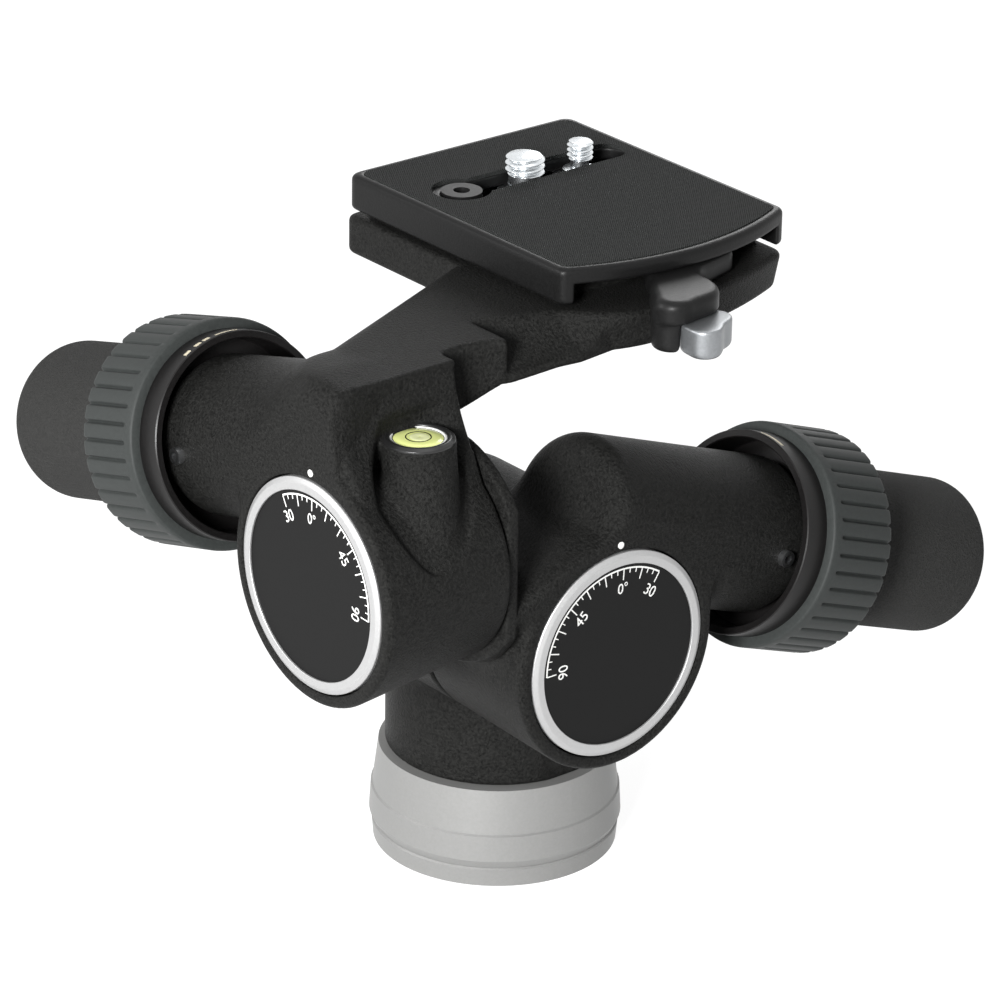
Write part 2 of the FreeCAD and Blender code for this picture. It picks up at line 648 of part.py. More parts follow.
# ---------------------------------------------------------------- pan body
def make_pan_housing():
    """Turning body: the pan gear's case, and a boss that carries the lower tilt shaft."""
    column = rod(PAN_R, PAN_ROOF_Z - pan_bottom, V(0, 0, pan_bottom), Z_AXIS)
    past_seam = block((boss_face_x, -PAN_R, LOWER_AXIS_Z - HOUSING_R - SEAM_GAP),
                      (PAN_R, PAN_R, PAN_ROOF_Z))
    boss_back = V(BOSS_BACK_X, LOWER_AXIS_Y, LOWER_AXIS_Z)
    boss = rod(BOSS_R, boss_face_x - BOSS_BACK_X, boss_back, X_AXIS)
    boss = rounded(boss, BOSS_BACK_R, rim_at(boss_back, X_AXIS, 0, BOSS_R))
    reach = BOSS_R + SEAM_GAP
    near_side = block((BOSS_BACK_X, LOWER_AXIS_Y - reach, LOWER_AXIS_Z - reach),
                      (BOSS_FLAT_X, BOSS_NEAR_Y, LOWER_AXIS_Z + reach))
    body = joined(column.cut(past_seam), boss.cut(near_side), pan.tube())
    wheel_room = rod(CHAMBER_R, pan_ceiling - pan_bottom, V(0, 0, pan_bottom), Z_AXIS)
    shaft_seat = rod(SHAFT_R, TILT_SHAFT_SEAT, V(boss_face_x, LOWER_AXIS_Y, LOWER_AXIS_Z), -X_AXIS)
    return body.cut(joined(wheel_room, shaft_seat)).cut(pan.bore()).cut(pan.set_screw_hole())


def make_pan_bushing():
    """Plate that closes the pan gear from below, with the bearing on the spindle."""
    return ring(CHAMBER_R, SHAFT_R + RUN_CLEARANCE, PAN_PLATE_H, V(0, 0, pan_bottom), Z_AXIS)


save(make_pan_housing(), "pan_housing")
save(make_pan_bushing(), "pan_bushing")
save(lower.shaft(TILT_SHAFT_SEAT), "lower_tilt_shaft")
save(lower.wheel(), "lower_tilt_wheel")
save(lower.dial_disc(), "lower_dial_disc")
save(lower.dial_ring(), "lower_dial_ring")


# ---------------------------------------------------------------- tilt housings
def hollow_out(body, unit, lean):
    """Cut a tilt unit's wheel chamber, shaft bore, cartridge bore and dial recess."""
    rooms = (unit.wheel_chamber(), unit.dial_recess(), unit.shaft_bore(bush_seat_r),
             unit.bore(), unit.index_dot(lean), unit.set_screw_hole())
    for room in rooms:
        body = body.cut(room)
    return body


def make_lower_housing():
    """Lower tilt casting: wheel case, worm tube, and the flanged arm of the upper unit."""
    case = rod(HOUSING_R, 2 * WORM_INSET - RIM_SETBACK, V(lower_seam_x, LOWER_AXIS_Y, LOWER_AXIS_Z), X_AXIS)
    hinge = V(UPPER_AXIS_X, flange_face_y, UPPER_AXIS_Z)
    flange = rod(FLANGE_R, FLANGE_T, hinge, Y_AXIS)
    arm = turned([(0, 0), (0, ARM_ROOT_R), (ARM_LENGTH, ARM_TIP_R), (ARM_LENGTH, 0)],
                 hinge, Y_AXIS, X_AXIS)
    above_arm = block((UPPER_AXIS_X - ARM_ROOT_R, flange_face_y, ARM_TOP_Z),
                      (UPPER_AXIS_X + ARM_ROOT_R, flange_face_y + ARM_LENGTH, UPPER_AXIS_Z + ARM_ROOT_R))
    past_seam = block((UPPER_AXIS_X - ARM_ROOT_R, flange_face_y + FLANGE_T, UPPER_AXIS_Z - ARM_ROOT_R),
                      (lower_seam_x, flange_face_y + ARM_LENGTH, UPPER_AXIS_Z + ARM_ROOT_R))
    shaft_boss = rod(SHAFT_BOSS_R, SHAFT_BOSS_LENGTH, hinge, Y_AXIS)
    body = joined(case, flange, arm.cut(above_arm).cut(past_seam), shaft_boss.cut(past_seam), lower.tube())
    shaft_seat = rod(SHAFT_R, SHAFT_BOSS_LENGTH, hinge, Y_AXIS)
    return hollow_out(body.cut(shaft_seat), lower, lower_lean)


def shoulder_section(y, case_r, top_x):
    """Outline across the shoulder: from the case, up the leaning wall to its bend, then its top."""
    lean = math.radians(SHOULDER_LEAN)
    leave = V(UPPER_AXIS_X + case_r * math.cos(lean), y, UPPER_AXIS_Z + case_r * math.sin(lean))
    bend_x = leave.x - (SHOULDER_BEND_Z - leave.z) * math.tan(lean)
    points = [V(UPPER_AXIS_X, y, UPPER_AXIS_Z), leave, V(bend_x, y, SHOULDER_BEND_Z),
              V(top_x, y, BED_TOP), V(SHOULDER_LEFT_X, y, BED_TOP)]
    return Part.makePolygon(points + [points[0]])


def make_upper_housing():
    """Upper tilt casting: wheel case, worm tube, shoulder, arm and bed of the plate clamp."""
    front_y = UPPER_FACE_Y + RIM_SETBACK
    depth = upper_seam_y - front_y
    taper = (HOUSING_R - HOUSING_SEAM_R) / depth
    waist_r = HOUSING_R - taper * (SHOULDER_WAIST_Y - front_y)
    axis_front = V(UPPER_AXIS_X, front_y, UPPER_AXIS_Z)
    case = turned([(0, 0), (0, HOUSING_R), (depth, HOUSING_SEAM_R), (depth, 0)], axis_front, Y_AXIS, X_AXIS)
    shoulder = Part.makeLoft([shoulder_section(front_y, HOUSING_R, SHOULDER_FRONT_TOP_X),
                              shoulder_section(SHOULDER_WAIST_Y, waist_r, SHOULDER_WAIST_TOP_X),
                              shoulder_section(upper_seam_y, HOUSING_SEAM_R, SHOULDER_SEAM_TOP_X)],
                             True, True)
    right_x = UPPER_AXIS_X + HOUSING_R
    front_slope = prism([V(0, front_y, BED_TOP - SHOULDER_FRONT_DROP), V(0, front_y, BED_TOP),
                         V(0, front_y + SHOULDER_FRONT_DEPTH, BED_TOP)], X_AXIS * right_x)
    arm = prism([V(ARM_HEEL_X, ARM_HEEL_Y, BED_TOP), V(ARM_LEFT_X, BED_NEAR_Y, BED_TOP),
                 V(ARM_FRONT_X, BED_NEAR_Y, BED_TOP), V(ARM_FRONT_X, upper_seam_y, BED_TOP),
                 V(SHOULDER_SEAM_TOP_X, ARM_HEEL_Y, BED_TOP)], Z_AXIS * -BED_T)
    neck = prism([V(ARM_NECK_X, upper_seam_y, BED_TOP - ARM_FOOT_T),
                  V(ARM_NECK_X, upper_seam_y, bed_bottom),
                  V(ARM_NECK_X, ARM_FOOT_Y, bed_bottom)], X_AXIS * (ARM_FRONT_X - ARM_NECK_X))
    bevel = prism([V(ARM_BEVEL_X, ARM_BEVEL_Y, BED_TOP), V(ARM_FRONT_X, ARM_BEVEL_Y, BED_TOP),
                   V(ARM_FRONT_X, ARM_BEVEL_Y, bed_bottom)], Y_AXIS * (BED_NEAR_Y - ARM_BEVEL_Y))
    body = joined(case, upper.tube(), shoulder.cut(front_slope), arm.cut(bevel), neck, make_bed())
    wall = rod(CHAMBER_R + LEVEL_POCKET_WALL, depth, axis_front, Y_AXIS)
    pocket = rod(LEVEL_POCKET_R, SHOULDER_BEND_Z - LEVEL_POCKET_FLOOR,
                 V(LEVEL_POCKET_X, LEVEL_Y, LEVEL_POCKET_FLOOR), Z_AXIS).cut(wall)
    post = rod(LEVEL_POST_R, LEVEL_TOP - LEVEL_POCKET_FLOOR, V(LEVEL_X, LEVEL_Y, LEVEL_POCKET_FLOOR), Z_AXIS)
    seat = rod(LEVEL_RING_R, LEVEL_DEPTH, V(LEVEL_X, LEVEL_Y, LEVEL_TOP - LEVEL_DEPTH), Z_AXIS)
    body = joined(body.cut(pocket), post).cut(seat)
    return hollow_out(body, upper, upper_lean)


def make_bed():
    """Flat bed under the plate, with a curved nose and two rails that the plate sits on."""
    near_left = V(BED_LEFT_X, BED_NEAR_Y, bed_bottom)
    far_left = V(BED_LEFT_X, BED_FAR_Y, bed_bottom)
    far_nose = V(BED_NOSE_FAR_X, BED_FAR_Y, bed_bottom)
    nose_middle = V(BED_NOSE_MID_X, BED_NOSE_MID_Y, bed_bottom)
    nose = V(BED_NOSE_X, BED_NOSE_Y, bed_bottom)
    near_nose = V(ARM_FRONT_X, BED_NEAR_Y, bed_bottom)
    sides = Part.makePolygon([nose, near_nose, near_left, far_left, far_nose])
    wire = Part.Wire([Part.Arc(far_nose, nose_middle, nose).toShape()] + sides.Edges)
    body = Part.Face(wire).extrude(Z_AXIS * BED_T)
    near = PLATE_NEAR_Y + PLATE_FLANGE_W + RAIL_MARGIN
    far = PLATE_FAR_Y - PLATE_FLANGE_W - RAIL_MARGIN
    head_room = BIG_HEAD_R + HEAD_ROOM
    left_rail = block((RAIL_LEFT_X, near, BED_TOP), (SLOT_X - head_room, far, deck_bottom))
    right_rail = block((SLOT_X + head_room, near, BED_TOP), (RAIL_RIGHT_X, far, deck_bottom))
    pin_hole = rod(LEVER_PIN_R, BED_T, V(LEVER_PIVOT_X, LEVER_PIVOT_Y, bed_bottom), Z_AXIS)
    return joined(body, left_rail, right_rail).cut(pin_hole)


def save_tilt_unit(unit, lean):
    """The pieces that both tilt housings carry, and the dial that they turn around."""
    save(unit.cap(), unit.name + "_bearing_cap")
    save(unit.shaft_bushes(), unit.name + "_tilt_bushes")
    save(unit.index_dot(lean), unit.name + "_index_dot")


def save_worm_unit(unit):
    """Everything on the worm's axis."""
    save(unit.cartridge(), unit.name + "_worm_cartridge")
    save(unit.bushes(), unit.name + "_worm_bushes")
    save(unit.worm(), unit.name + "_worm")
    save(unit.knob(), unit.name + "_knob")
    save(unit.collar(), unit.name + "_release_collar")
    save(unit.grip(), unit.name + "_collar_grip")
    save(unit.set_screw(), unit.name + "_set_screw")


save(make_lower_housing(), "lower_tilt_housing")
save_tilt_unit(lower, lower_lean)
save(upper.shaft(SHAFT_BOSS_LENGTH), "upper_tilt_shaft")
save(upper.wheel(), "upper_tilt_wheel")
save(upper.dial_disc(), "upper_dial_disc")
save(upper.dial_ring(), "upper_dial_ring")
save(make_upper_housing(), "upper_tilt_housing")
save_tilt_unit(upper, upper_lean)
for worm_unit in (pan, lower, upper):
    save_worm_unit(worm_unit)


# ---------------------------------------------------------------- bubble level
level_seat = V(LEVEL_X, LEVEL_Y, LEVEL_TOP - LEVEL_DEPTH)
save(rod(LEVEL_R, LEVEL_DEPTH - EDGE_R / 2, level_seat, Z_AXIS), "level_vial")
save(ring(LEVEL_RING_R, LEVEL_R, LEVEL_DEPTH, level_seat, Z_AXIS), "level_ring")


# ---------------------------------------------------------------- quick-release plate
def plate_outline(inset, bottom):
    """Plate's plan with its curved nose, drawn in by an inset."""
    near_nose = V(PLATE_CORNER_X - inset / 2, PLATE_NEAR_Y + inset, bottom)
    far_nose = V(PLATE_CORNER_X - inset / 2, PLATE_FAR_Y - inset, bottom)
    nose = V(PLATE_NOSE_X - inset, (PLATE_NEAR_Y + PLATE_FAR_Y) / 2, bottom)
    sides = Part.makePolygon([far_nose, V(PLATE_LEFT_X + inset, PLATE_FAR_Y - inset, bottom),
                              V(PLATE_LEFT_X + inset, PLATE_NEAR_Y + inset, bottom), near_nose])
    return Part.Face(Part.Wire([Part.Arc(near_nose, nose, far_nose).toShape()] + sides.Edges))


def slot(width, bottom, height):
    """Round-ended slot along Y."""
    half = width / 2
    straight = block((SLOT_X - half, SLOT_NEAR_Y, bottom), (SLOT_X + half, SLOT_FAR_Y, bottom + height))
    near_end = rod(half, height, V(SLOT_X, SLOT_NEAR_Y, bottom), Z_AXIS)
    far_end = rod(half, height, V(SLOT_X, SLOT_FAR_Y, bottom), Z_AXIS)
    return joined(straight, near_end, far_end)


def make_plate():
    """Deck with two side flanges, a slot for the camera screws and a recess for the pad."""
    body = plate_outline(0, plate_bottom).extrude(Z_AXIS * PLATE_FLANGE_H)
    body = rounded(body, PLATE_CORNER_R, upright_edge)
    channel = block((PLATE_LEFT_X - EDGE_R, PLATE_NEAR_Y + PLATE_FLANGE_W, plate_bottom),
                    (PLATE_NOSE_X + EDGE_R, PLATE_FAR_Y - PLATE_FLANGE_W, deck_bottom))
    recess = pad_blank(PAD_SINK)
    return body.cut(channel).cut(slot(SLOT_W, deck_bottom, PLATE_DECK)).cut(recess)


def pad_blank(height):
    """Pad's full outline, from the recess's floor up."""
    body = plate_outline(PAD_INSET, pad_bottom).extrude(Z_AXIS * height)
    return rounded(body, PLATE_CORNER_R, upright_edge)


def make_pad():
    height = PAD_SINK + PAD_PROUD
    eye = rod(SLOT_EYE_R, height, V(SLOT_X, SLOT_NEAR_Y, pad_bottom), Z_AXIS)
    return pad_blank(height).cut(slot(SLOT_W, pad_bottom, height)).cut(eye)


def make_camera_screw(place_y, thread_r, head_r):
    """Captive screw: head under the deck, shoulder in its washer, thinner neck, thread above the pad."""
    head_top = deck_bottom - 2 * RUN_CLEARANCE - SCREW_WASHER_H
    body = rod(head_r, SCREW_HEAD_H, V(SLOT_X, place_y, head_top - SCREW_HEAD_H), Z_AXIS)
    shoulder = rod(SCREW_SHOULDER_R, SCREW_SHOULDER_H, V(SLOT_X, place_y, head_top), Z_AXIS)
    neck = rod(thread_r - SCREW_NECK_STEP, pad_top - head_top, V(SLOT_X, place_y, head_top), Z_AXIS)
    thread_top = pad_top + SCREW_PROUD
    thread = rod(thread_r, SCREW_PROUD, V(SLOT_X, place_y, pad_top), Z_AXIS)
    body = joined(body, shoulder, neck, thread)
    for turn in range(SCREW_GROOVES):
        middle = thread_top - (turn + 1) * SCREW_GROOVE_PITCH
        half = SCREW_GROOVE_PITCH / 2
        profile = [(-half, thread_r + SCREW_GROOVE_DEPTH), (0, thread_r - SCREW_GROOVE_DEPTH),
                   (half, thread_r + SCREW_GROOVE_DEPTH)]
        body = body.cut(turned(profile, V(SLOT_X, place_y, middle), Z_AXIS, X_AXIS))
    return body


def make_screw_washer(place_y):
    """Washer that slides under the deck with its screw and lets the screw turn."""
    low = V(SLOT_X, place_y, deck_bottom - RUN_CLEARANCE - SCREW_WASHER_H)
    return ring(SCREW_WASHER_R, SCREW_SHOULDER_R + RUN_CLEARANCE, SCREW_WASHER_H, low, Z_AXIS)


def make_slot_bush():
    """Plain bush fixed in the near end of the slot."""
    near_end = V(SLOT_X, SLOT_NEAR_Y, deck_bottom)
    return ring(SLOT_W / 2, SLOT_BUSH_HOLE_R, PLATE_DECK, near_end, Z_AXIS)


save(make_plate(), "camera_plate")
save(make_pad(), "plate_pad")
save(make_slot_bush(), "slot_bush")
save(make_screw_washer(BIG_SCREW_Y), "screw_washer_3_8")
save(make_screw_washer(SMALL_SCREW_Y), "screw_washer_1_4")
save(make_camera_screw(BIG_SCREW_Y, BIG_SCREW_R, BIG_HEAD_R), "camera_screw_3_8")
save(make_camera_screw(SMALL_SCREW_Y, SMALL_SCREW_R, SMALL_HEAD_R), "camera_screw_1_4")


# ---------------------------------------------------------------- release lever and catch
def link(first, first_r, second, second_r, height):
    """Flat bar around two circles."""
    span = second - first
    along = V(span).normalize()
    across = Z_AXIS.cross(along)
    forward = (first_r - second_r) / span.Length
    sideways = math.sqrt(1 - forward * forward)
    left = along * forward + across * sideways
    right = along * forward - across * sideways
    corners = [first + left * first_r, second + left * second_r,
               second + right * second_r, first + right * first_r]
    return joined(rod(first_r, height, first, Z_AXIS), rod(second_r, height, second, Z_AXIS),
                  prism(corners, Z_AXIS * height))


def make_lever():
    """Bent arm under the deck with a thumb tab that hangs in front of the bed's nose."""
    height = deck_bottom - LEVER_GAP - lever_bottom
    pivot = V(LEVER_PIVOT_X, LEVER_PIVOT_Y, lever_bottom)
    elbow = V(LEVER_ELBOW_X, LEVER_ELBOW_Y, lever_bottom)
    tip = V(LEVER_TIP_X, LEVER_TIP_Y, lever_bottom)
    tab_bottom = BED_TOP - LEVER_TAB_DROP
    tab = rod(LEVER_TIP_R, lever_bottom - tab_bottom, V(LEVER_TIP_X, LEVER_TIP_Y, tab_bottom), Z_AXIS)
    beside_catch = block((LEVER_TIP_X - LEVER_TIP_R, LEVER_TAB_FAR_Y, tab_bottom),
                         (LEVER_TIP_X + LEVER_TIP_R, LEVER_TIP_Y + LEVER_TIP_R, lever_bottom))
    body = joined(link(pivot, LEVER_EYE_R, elbow, LEVER_ELBOW_R, height),
                  link(elbow, LEVER_ELBOW_R, tip, LEVER_TIP_R, height), tab.cut(beside_catch))
    pin_hole = rod(LEVER_PIN_R + RUN_CLEARANCE, height, pivot, Z_AXIS)
    catch_hole = rod(CATCH_PIN_R + RUN_CLEARANCE, CATCH_PIN_LENGTH - LEVER_GAP + RUN_CLEARANCE,
                     V(CATCH_PIVOT_X, CATCH_PIVOT_Y, lever_bottom), Z_AXIS)
    return body.cut(joined(pin_hole, catch_hole))


def make_catch():
    """Safety catch: a thumb in front of the lever, on a foot with a pin up into it."""
    foot = V(CATCH_PIVOT_X, CATCH_PIVOT_Y, catch_bottom)
    far = V(CATCH_FAR_X, CATCH_FAR_Y, catch_bottom)
    nose = V(CATCH_NOSE_X, CATCH_NOSE_Y, catch_bottom)
    heel = V(CATCH_HEEL_X, CATCH_HEEL_Y, catch_bottom)
    return joined(link(foot, CATCH_FOOT_R, far, CATCH_R, CATCH_H),
                  link(far, CATCH_R, nose, CATCH_R, CATCH_H),
                  link(nose, CATCH_R, heel, CATCH_HEEL_R, CATCH_H),
                  link(heel, CATCH_HEEL_R, far, CATCH_R, CATCH_H),
                  rod(CATCH_PIN_R, CATCH_H + CATCH_PIN_LENGTH, foot, Z_AXIS))


lever_pin = rod(LEVER_PIN_R, deck_bottom - bed_bottom, V(LEVER_PIVOT_X, LEVER_PIVOT_Y, bed_bottom), Z_AXIS)
save(lever_pin, "lever_pivot_pin")
save(make_lever(), "release_lever")
save(make_catch(), "safety_catch")
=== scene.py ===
import bpy
import bmesh
import math
import numpy as np
import openvdb
from mathutils import Matrix, Vector

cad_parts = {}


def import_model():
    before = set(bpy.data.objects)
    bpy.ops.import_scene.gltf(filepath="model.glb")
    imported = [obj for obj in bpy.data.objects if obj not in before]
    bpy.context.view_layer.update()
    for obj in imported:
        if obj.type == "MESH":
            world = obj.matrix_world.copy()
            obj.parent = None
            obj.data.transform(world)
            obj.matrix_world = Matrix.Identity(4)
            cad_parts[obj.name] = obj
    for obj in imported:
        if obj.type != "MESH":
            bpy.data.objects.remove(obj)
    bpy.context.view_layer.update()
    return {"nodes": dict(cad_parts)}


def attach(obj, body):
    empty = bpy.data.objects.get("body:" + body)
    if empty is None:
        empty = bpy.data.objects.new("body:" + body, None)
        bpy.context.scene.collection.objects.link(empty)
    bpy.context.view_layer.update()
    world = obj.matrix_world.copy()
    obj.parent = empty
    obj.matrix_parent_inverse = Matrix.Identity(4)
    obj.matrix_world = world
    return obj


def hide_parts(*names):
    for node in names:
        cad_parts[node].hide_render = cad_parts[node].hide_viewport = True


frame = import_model()
nodes = frame["nodes"]
MM = 0.001


# sizes that the castings share, in mm
UPPER_X, UPPER_Z = 40.7, 105.7     # upper tilt axis, along Y
LOWER_Y, LOWER_Z = -16.5, 77.2     # lower tilt axis, along X
FRONT_Y = -87.4           # upper case's front face
SEAM_Y = -50.1            # upper case's rear face
CASE_BACK, FACE = -18.9, 18.4      # a case's rear and front, along f
CASE_R = 28.8
SEAM_NARROWING = 3.2      # upper case's radius is this much less at its seam
NARROWING_LENGTH = 36.9
TUBE_R, TUBE_BACK, TUBE_END = 18.9, -12.4, 53.0
SPIGOT_R, SPIGOT_END = 15.3, 69.5
TUBE_BACK_EDGE = 5.0
BORE_R, BORE_BACK = 10.5, -10.4    # for the worm's cartridge
RELEASE_LIFT = 1.8
CHAMBER_R = 23.6          # for the worm wheel
CHAMBER_ENDS = (-8.0, 15.0)
RECESS_R, RECESS_FLOOR = 25.66, 14.9       # for the dial
BED_TOP, BED_BOTTOM = 152.6, 142.8
ARM_SIDE_X = 46.2
BED_SLOPE = 0.22          # lean of the bed's nose
NO_LIMIT = -99.0          # a field far inside: takes nothing away
PAN_FLAT_X = 26.2         # face that meets the lower tilt unit
PAN_TUBE_R, PAN_TUBE_BACK, PAN_TUBE_END = 14.9, -3.0, 42.0
PAN_SPIGOT_R, PAN_SPIGOT_END = 12.1, 58.5
PAN_BORE_R = 8.7


# ---------------------------------------------------------------- the geared units' own frames, in mm
def unit_frame(origin, knob, lift, dial):
    """a runs along the knob, f towards the dial, n from the wheel's axis to the worm's."""
    return {"o": np.array(origin), "a": np.array(knob), "n": np.array(lift), "f": np.array(dial)}


UP_LEAN = math.radians(15.4)
LOW_LEAN = math.radians(20.2)
UPPER = unit_frame((UPPER_X, -69.0, UPPER_Z), (-math.cos(UP_LEAN), 0, -math.sin(UP_LEAN)),
                   (-math.sin(UP_LEAN), 0, math.cos(UP_LEAN)), (0, -1, 0))
LOWER = unit_frame((45.5, LOWER_Y, LOWER_Z), (0, math.cos(LOW_LEAN), -math.sin(LOW_LEAN)),
                   (0, math.sin(LOW_LEAN), math.cos(LOW_LEAN)), (1, 0, 0))
PAN = unit_frame((0, 0, 42.0), (0, 1, 0), (-1, 0, 0), (0, 0, -1))
UNITS = {"upper": UPPER, "lower": LOWER, "pan": PAN}
WORM_N = 27.2             # from the wheel's axis to the worm's


def local(p, unit):
    q = p - unit["o"].astype(p.dtype)
    return (q @ unit["a"].astype(p.dtype), q @ unit["f"].astype(p.dtype), q @ unit["n"].astype(p.dtype))


def world(unit, a, f, n):
    return Vector(unit["o"] + a * unit["a"] + f * unit["f"] + n * unit["n"])


# ---------------------------------------------------------------- distance fields
def capped(along, radial, low, high, radius, edge):
    """Cylinder between two stations with rounded rims."""
    out = radial - (radius - edge)
    end = np.abs(along - (low + high) / 2) - ((high - low) / 2 - edge)
    return np.minimum(np.maximum(out, end), 0) + np.hypot(np.maximum(out, 0), np.maximum(end, 0)) - edge


def brick(x, y, z, low, high, edge):
    d = [np.abs(v - (a + b) / 2) - ((b - a) / 2 - edge) for v, a, b in zip((x, y, z), low, high)]
    outside = np.sqrt(sum(np.maximum(v, 0) ** 2 for v in d))
    return outside + np.minimum(np.maximum(np.maximum(d[0], d[1]), d[2]), 0) - edge


def join(a, b, k):
    h = np.maximum(k - np.abs(a - b), 0) / k
    return np.minimum(a, b) - h * h * k / 4


def meet(a, b, k):
    return -join(-a, -b, k)


def cut(a, b, k):
    return meet(a, -b, k)


def plane(x, y, point, other):
    """Signed distance to the line from point to other, positive on its left side."""
    dx = other[0] - point[0]
    dy = other[1] - point[1]
    length = math.hypot(dx, dy)
    return ((y - point[1]) * dx - (x - point[0]) * dy) / length


def rooms(body, unit, dial, spigot_end, bore_r, chamber):
    """The wheel chamber, the dial's recess, and the slotted bore of the worm's cartridge."""
    a, f, n = unit
    body = cut(body, capped(f, np.hypot(a, n), chamber[0], chamber[1], CHAMBER_R, 0.1), 0.1)
    if dial:
        body = cut(body, capped(f, np.hypot(a, n), RECESS_FLOOR, 24.0, RECESS_R, 0.1), 0.5)
    lifted = np.hypot(f, n - WORM_N - np.clip(n - WORM_N, 0, RELEASE_LIFT))
    return cut(body, capped(a, lifted, BORE_BACK, spigot_end + 5, bore_r, 0.1), 0.3)


def worm_tube(unit):
    """A tilt unit's worm tube, with the slimmer spigot that carries the collar."""
    a, f, n = unit
    off = np.hypot(f, n - WORM_N)
    tube = capped(a, off, TUBE_BACK, TUBE_END, TUBE_R, TUBE_BACK_EDGE)
    return np.minimum(tube, capped(a, off, TUBE_BACK + 4, SPIGOT_END, SPIGOT_R, 0.5))


def upper_shoulder(x, y, z, back, high_wall, top):
    """Block above the wheel case: a wall that leans out below its bend, and rounded edges."""
    lean = np.radians(36.6 - 8.6 * back)
    low_wall = (x - UPPER_X) * np.cos(lean) + (z - UPPER_Z) * np.sin(lean) - 27.6 + 4.4 * back
    wall = join(low_wall, high_wall, 4)
    front_edge = 2.6 + 1.4 * np.clip((z - 118) / 24, 0, 1)
    shoulder = meet(meet(wall, top, 4.0), FRONT_Y - y, front_edge)
    foot = (x - UPPER_X) * np.sin(lean) - (z - UPPER_Z) * np.cos(lean)
    shoulder = np.maximum(np.maximum(shoulder, y - SEAM_Y), np.maximum(foot, 30.0 - x))
    return meet(shoulder, y - SEAM_Y, 1.6)


def upper_arm(x, y, z, high_wall, side, top):
    """Flat arm from the worm tube to the bed."""
    left = plane(x, y, (26.8, -82.4), (-2.9, -14.5))
    arm = meet(meet(left, FRONT_Y - y, 16), top, 6)
    underside = BED_BOTTOM - 1.4 * np.clip((-20 - y) / 14, 0, 1)
    arm = meet(arm, underside - z, 2)
    arm = meet(arm, np.where(y < SEAM_Y, x - ARM_SIDE_X, side), 1.6)
    arm = np.maximum(arm, y)
    return np.maximum(arm, np.where(y < SEAM_Y, high_wall, NO_LIMIT))


def upper_neck(x, y, z, side):
    """Slope under the arm, behind the shoulder."""
    slope = plane(y, z, (-44.5, 135.3), (-33.0, 142.2))
    neck = meet(meet(-slope, 135.2 - z, 4), np.maximum(y + 27, z - 150), 1)
    neck = np.maximum(neck, -50.6 - y)
    return meet(neck, np.maximum(side, 14 - x), 1.6)


def clamp_bed(x, y, z):
    """Bed under the plate, with a curved nose and the two rails that the plate sits on."""
    nose = np.hypot(x - NOSE[0], y - NOSE[1]) - NOSE[2] + BED_SLOPE * (BED_TOP - z)
    near = (x - 48.0) * 0.876 - (y + 4.4) * 0.482 + BED_SLOPE * (BED_TOP - z)
    bed = meet(meet(meet(nose, near, 5), -42.5 - x, 3), meet(-14.5 - y, y - 53.6, 1), 3)
    bed = meet(bed, meet(z - BED_TOP, BED_BOTTOM + 0.1 - z, 1), 1.6)
    rails = np.minimum(brick(x, y, z, (-39.0, -9.7, 150), (-25.7, 51.2, 158.4), 0.4),
                       brick(x, y, z, (-8.9, -9.7, 150), (31.0, 51.2, 158.4), 0.4))
    return np.minimum(bed, rails)


def level_seat_in(body, x, y, z, off_axis):
    """Cuts the level's pocket into the shoulder and stands the level's post in it."""
    post_limit = body + 0.4 - 2.0 * np.maximum(z - 115.0, 0)
    down = (142.0 - z) / 26.0
    pocket = capped(z, np.hypot(x - 56.7 + 3.1 * down, y + 64.6 + 6.3 * down), 112.0, 144.0, 12.6, 1.5)
    pocket = np.maximum(meet(pocket, 45.3 - x, 3), 26.3 - off_axis)
    body = cut(body, pocket, 2.2)
    down = np.maximum(137.5 - z, 0)
    post = capped(z, np.hypot(x - 51.3 - 0.25 * down, y + 65.6 + 0.10 * down), 108.0, 139.5, 8.5, 0.9)
    return join(body, meet(post, post_limit, 1.5), 1.6)


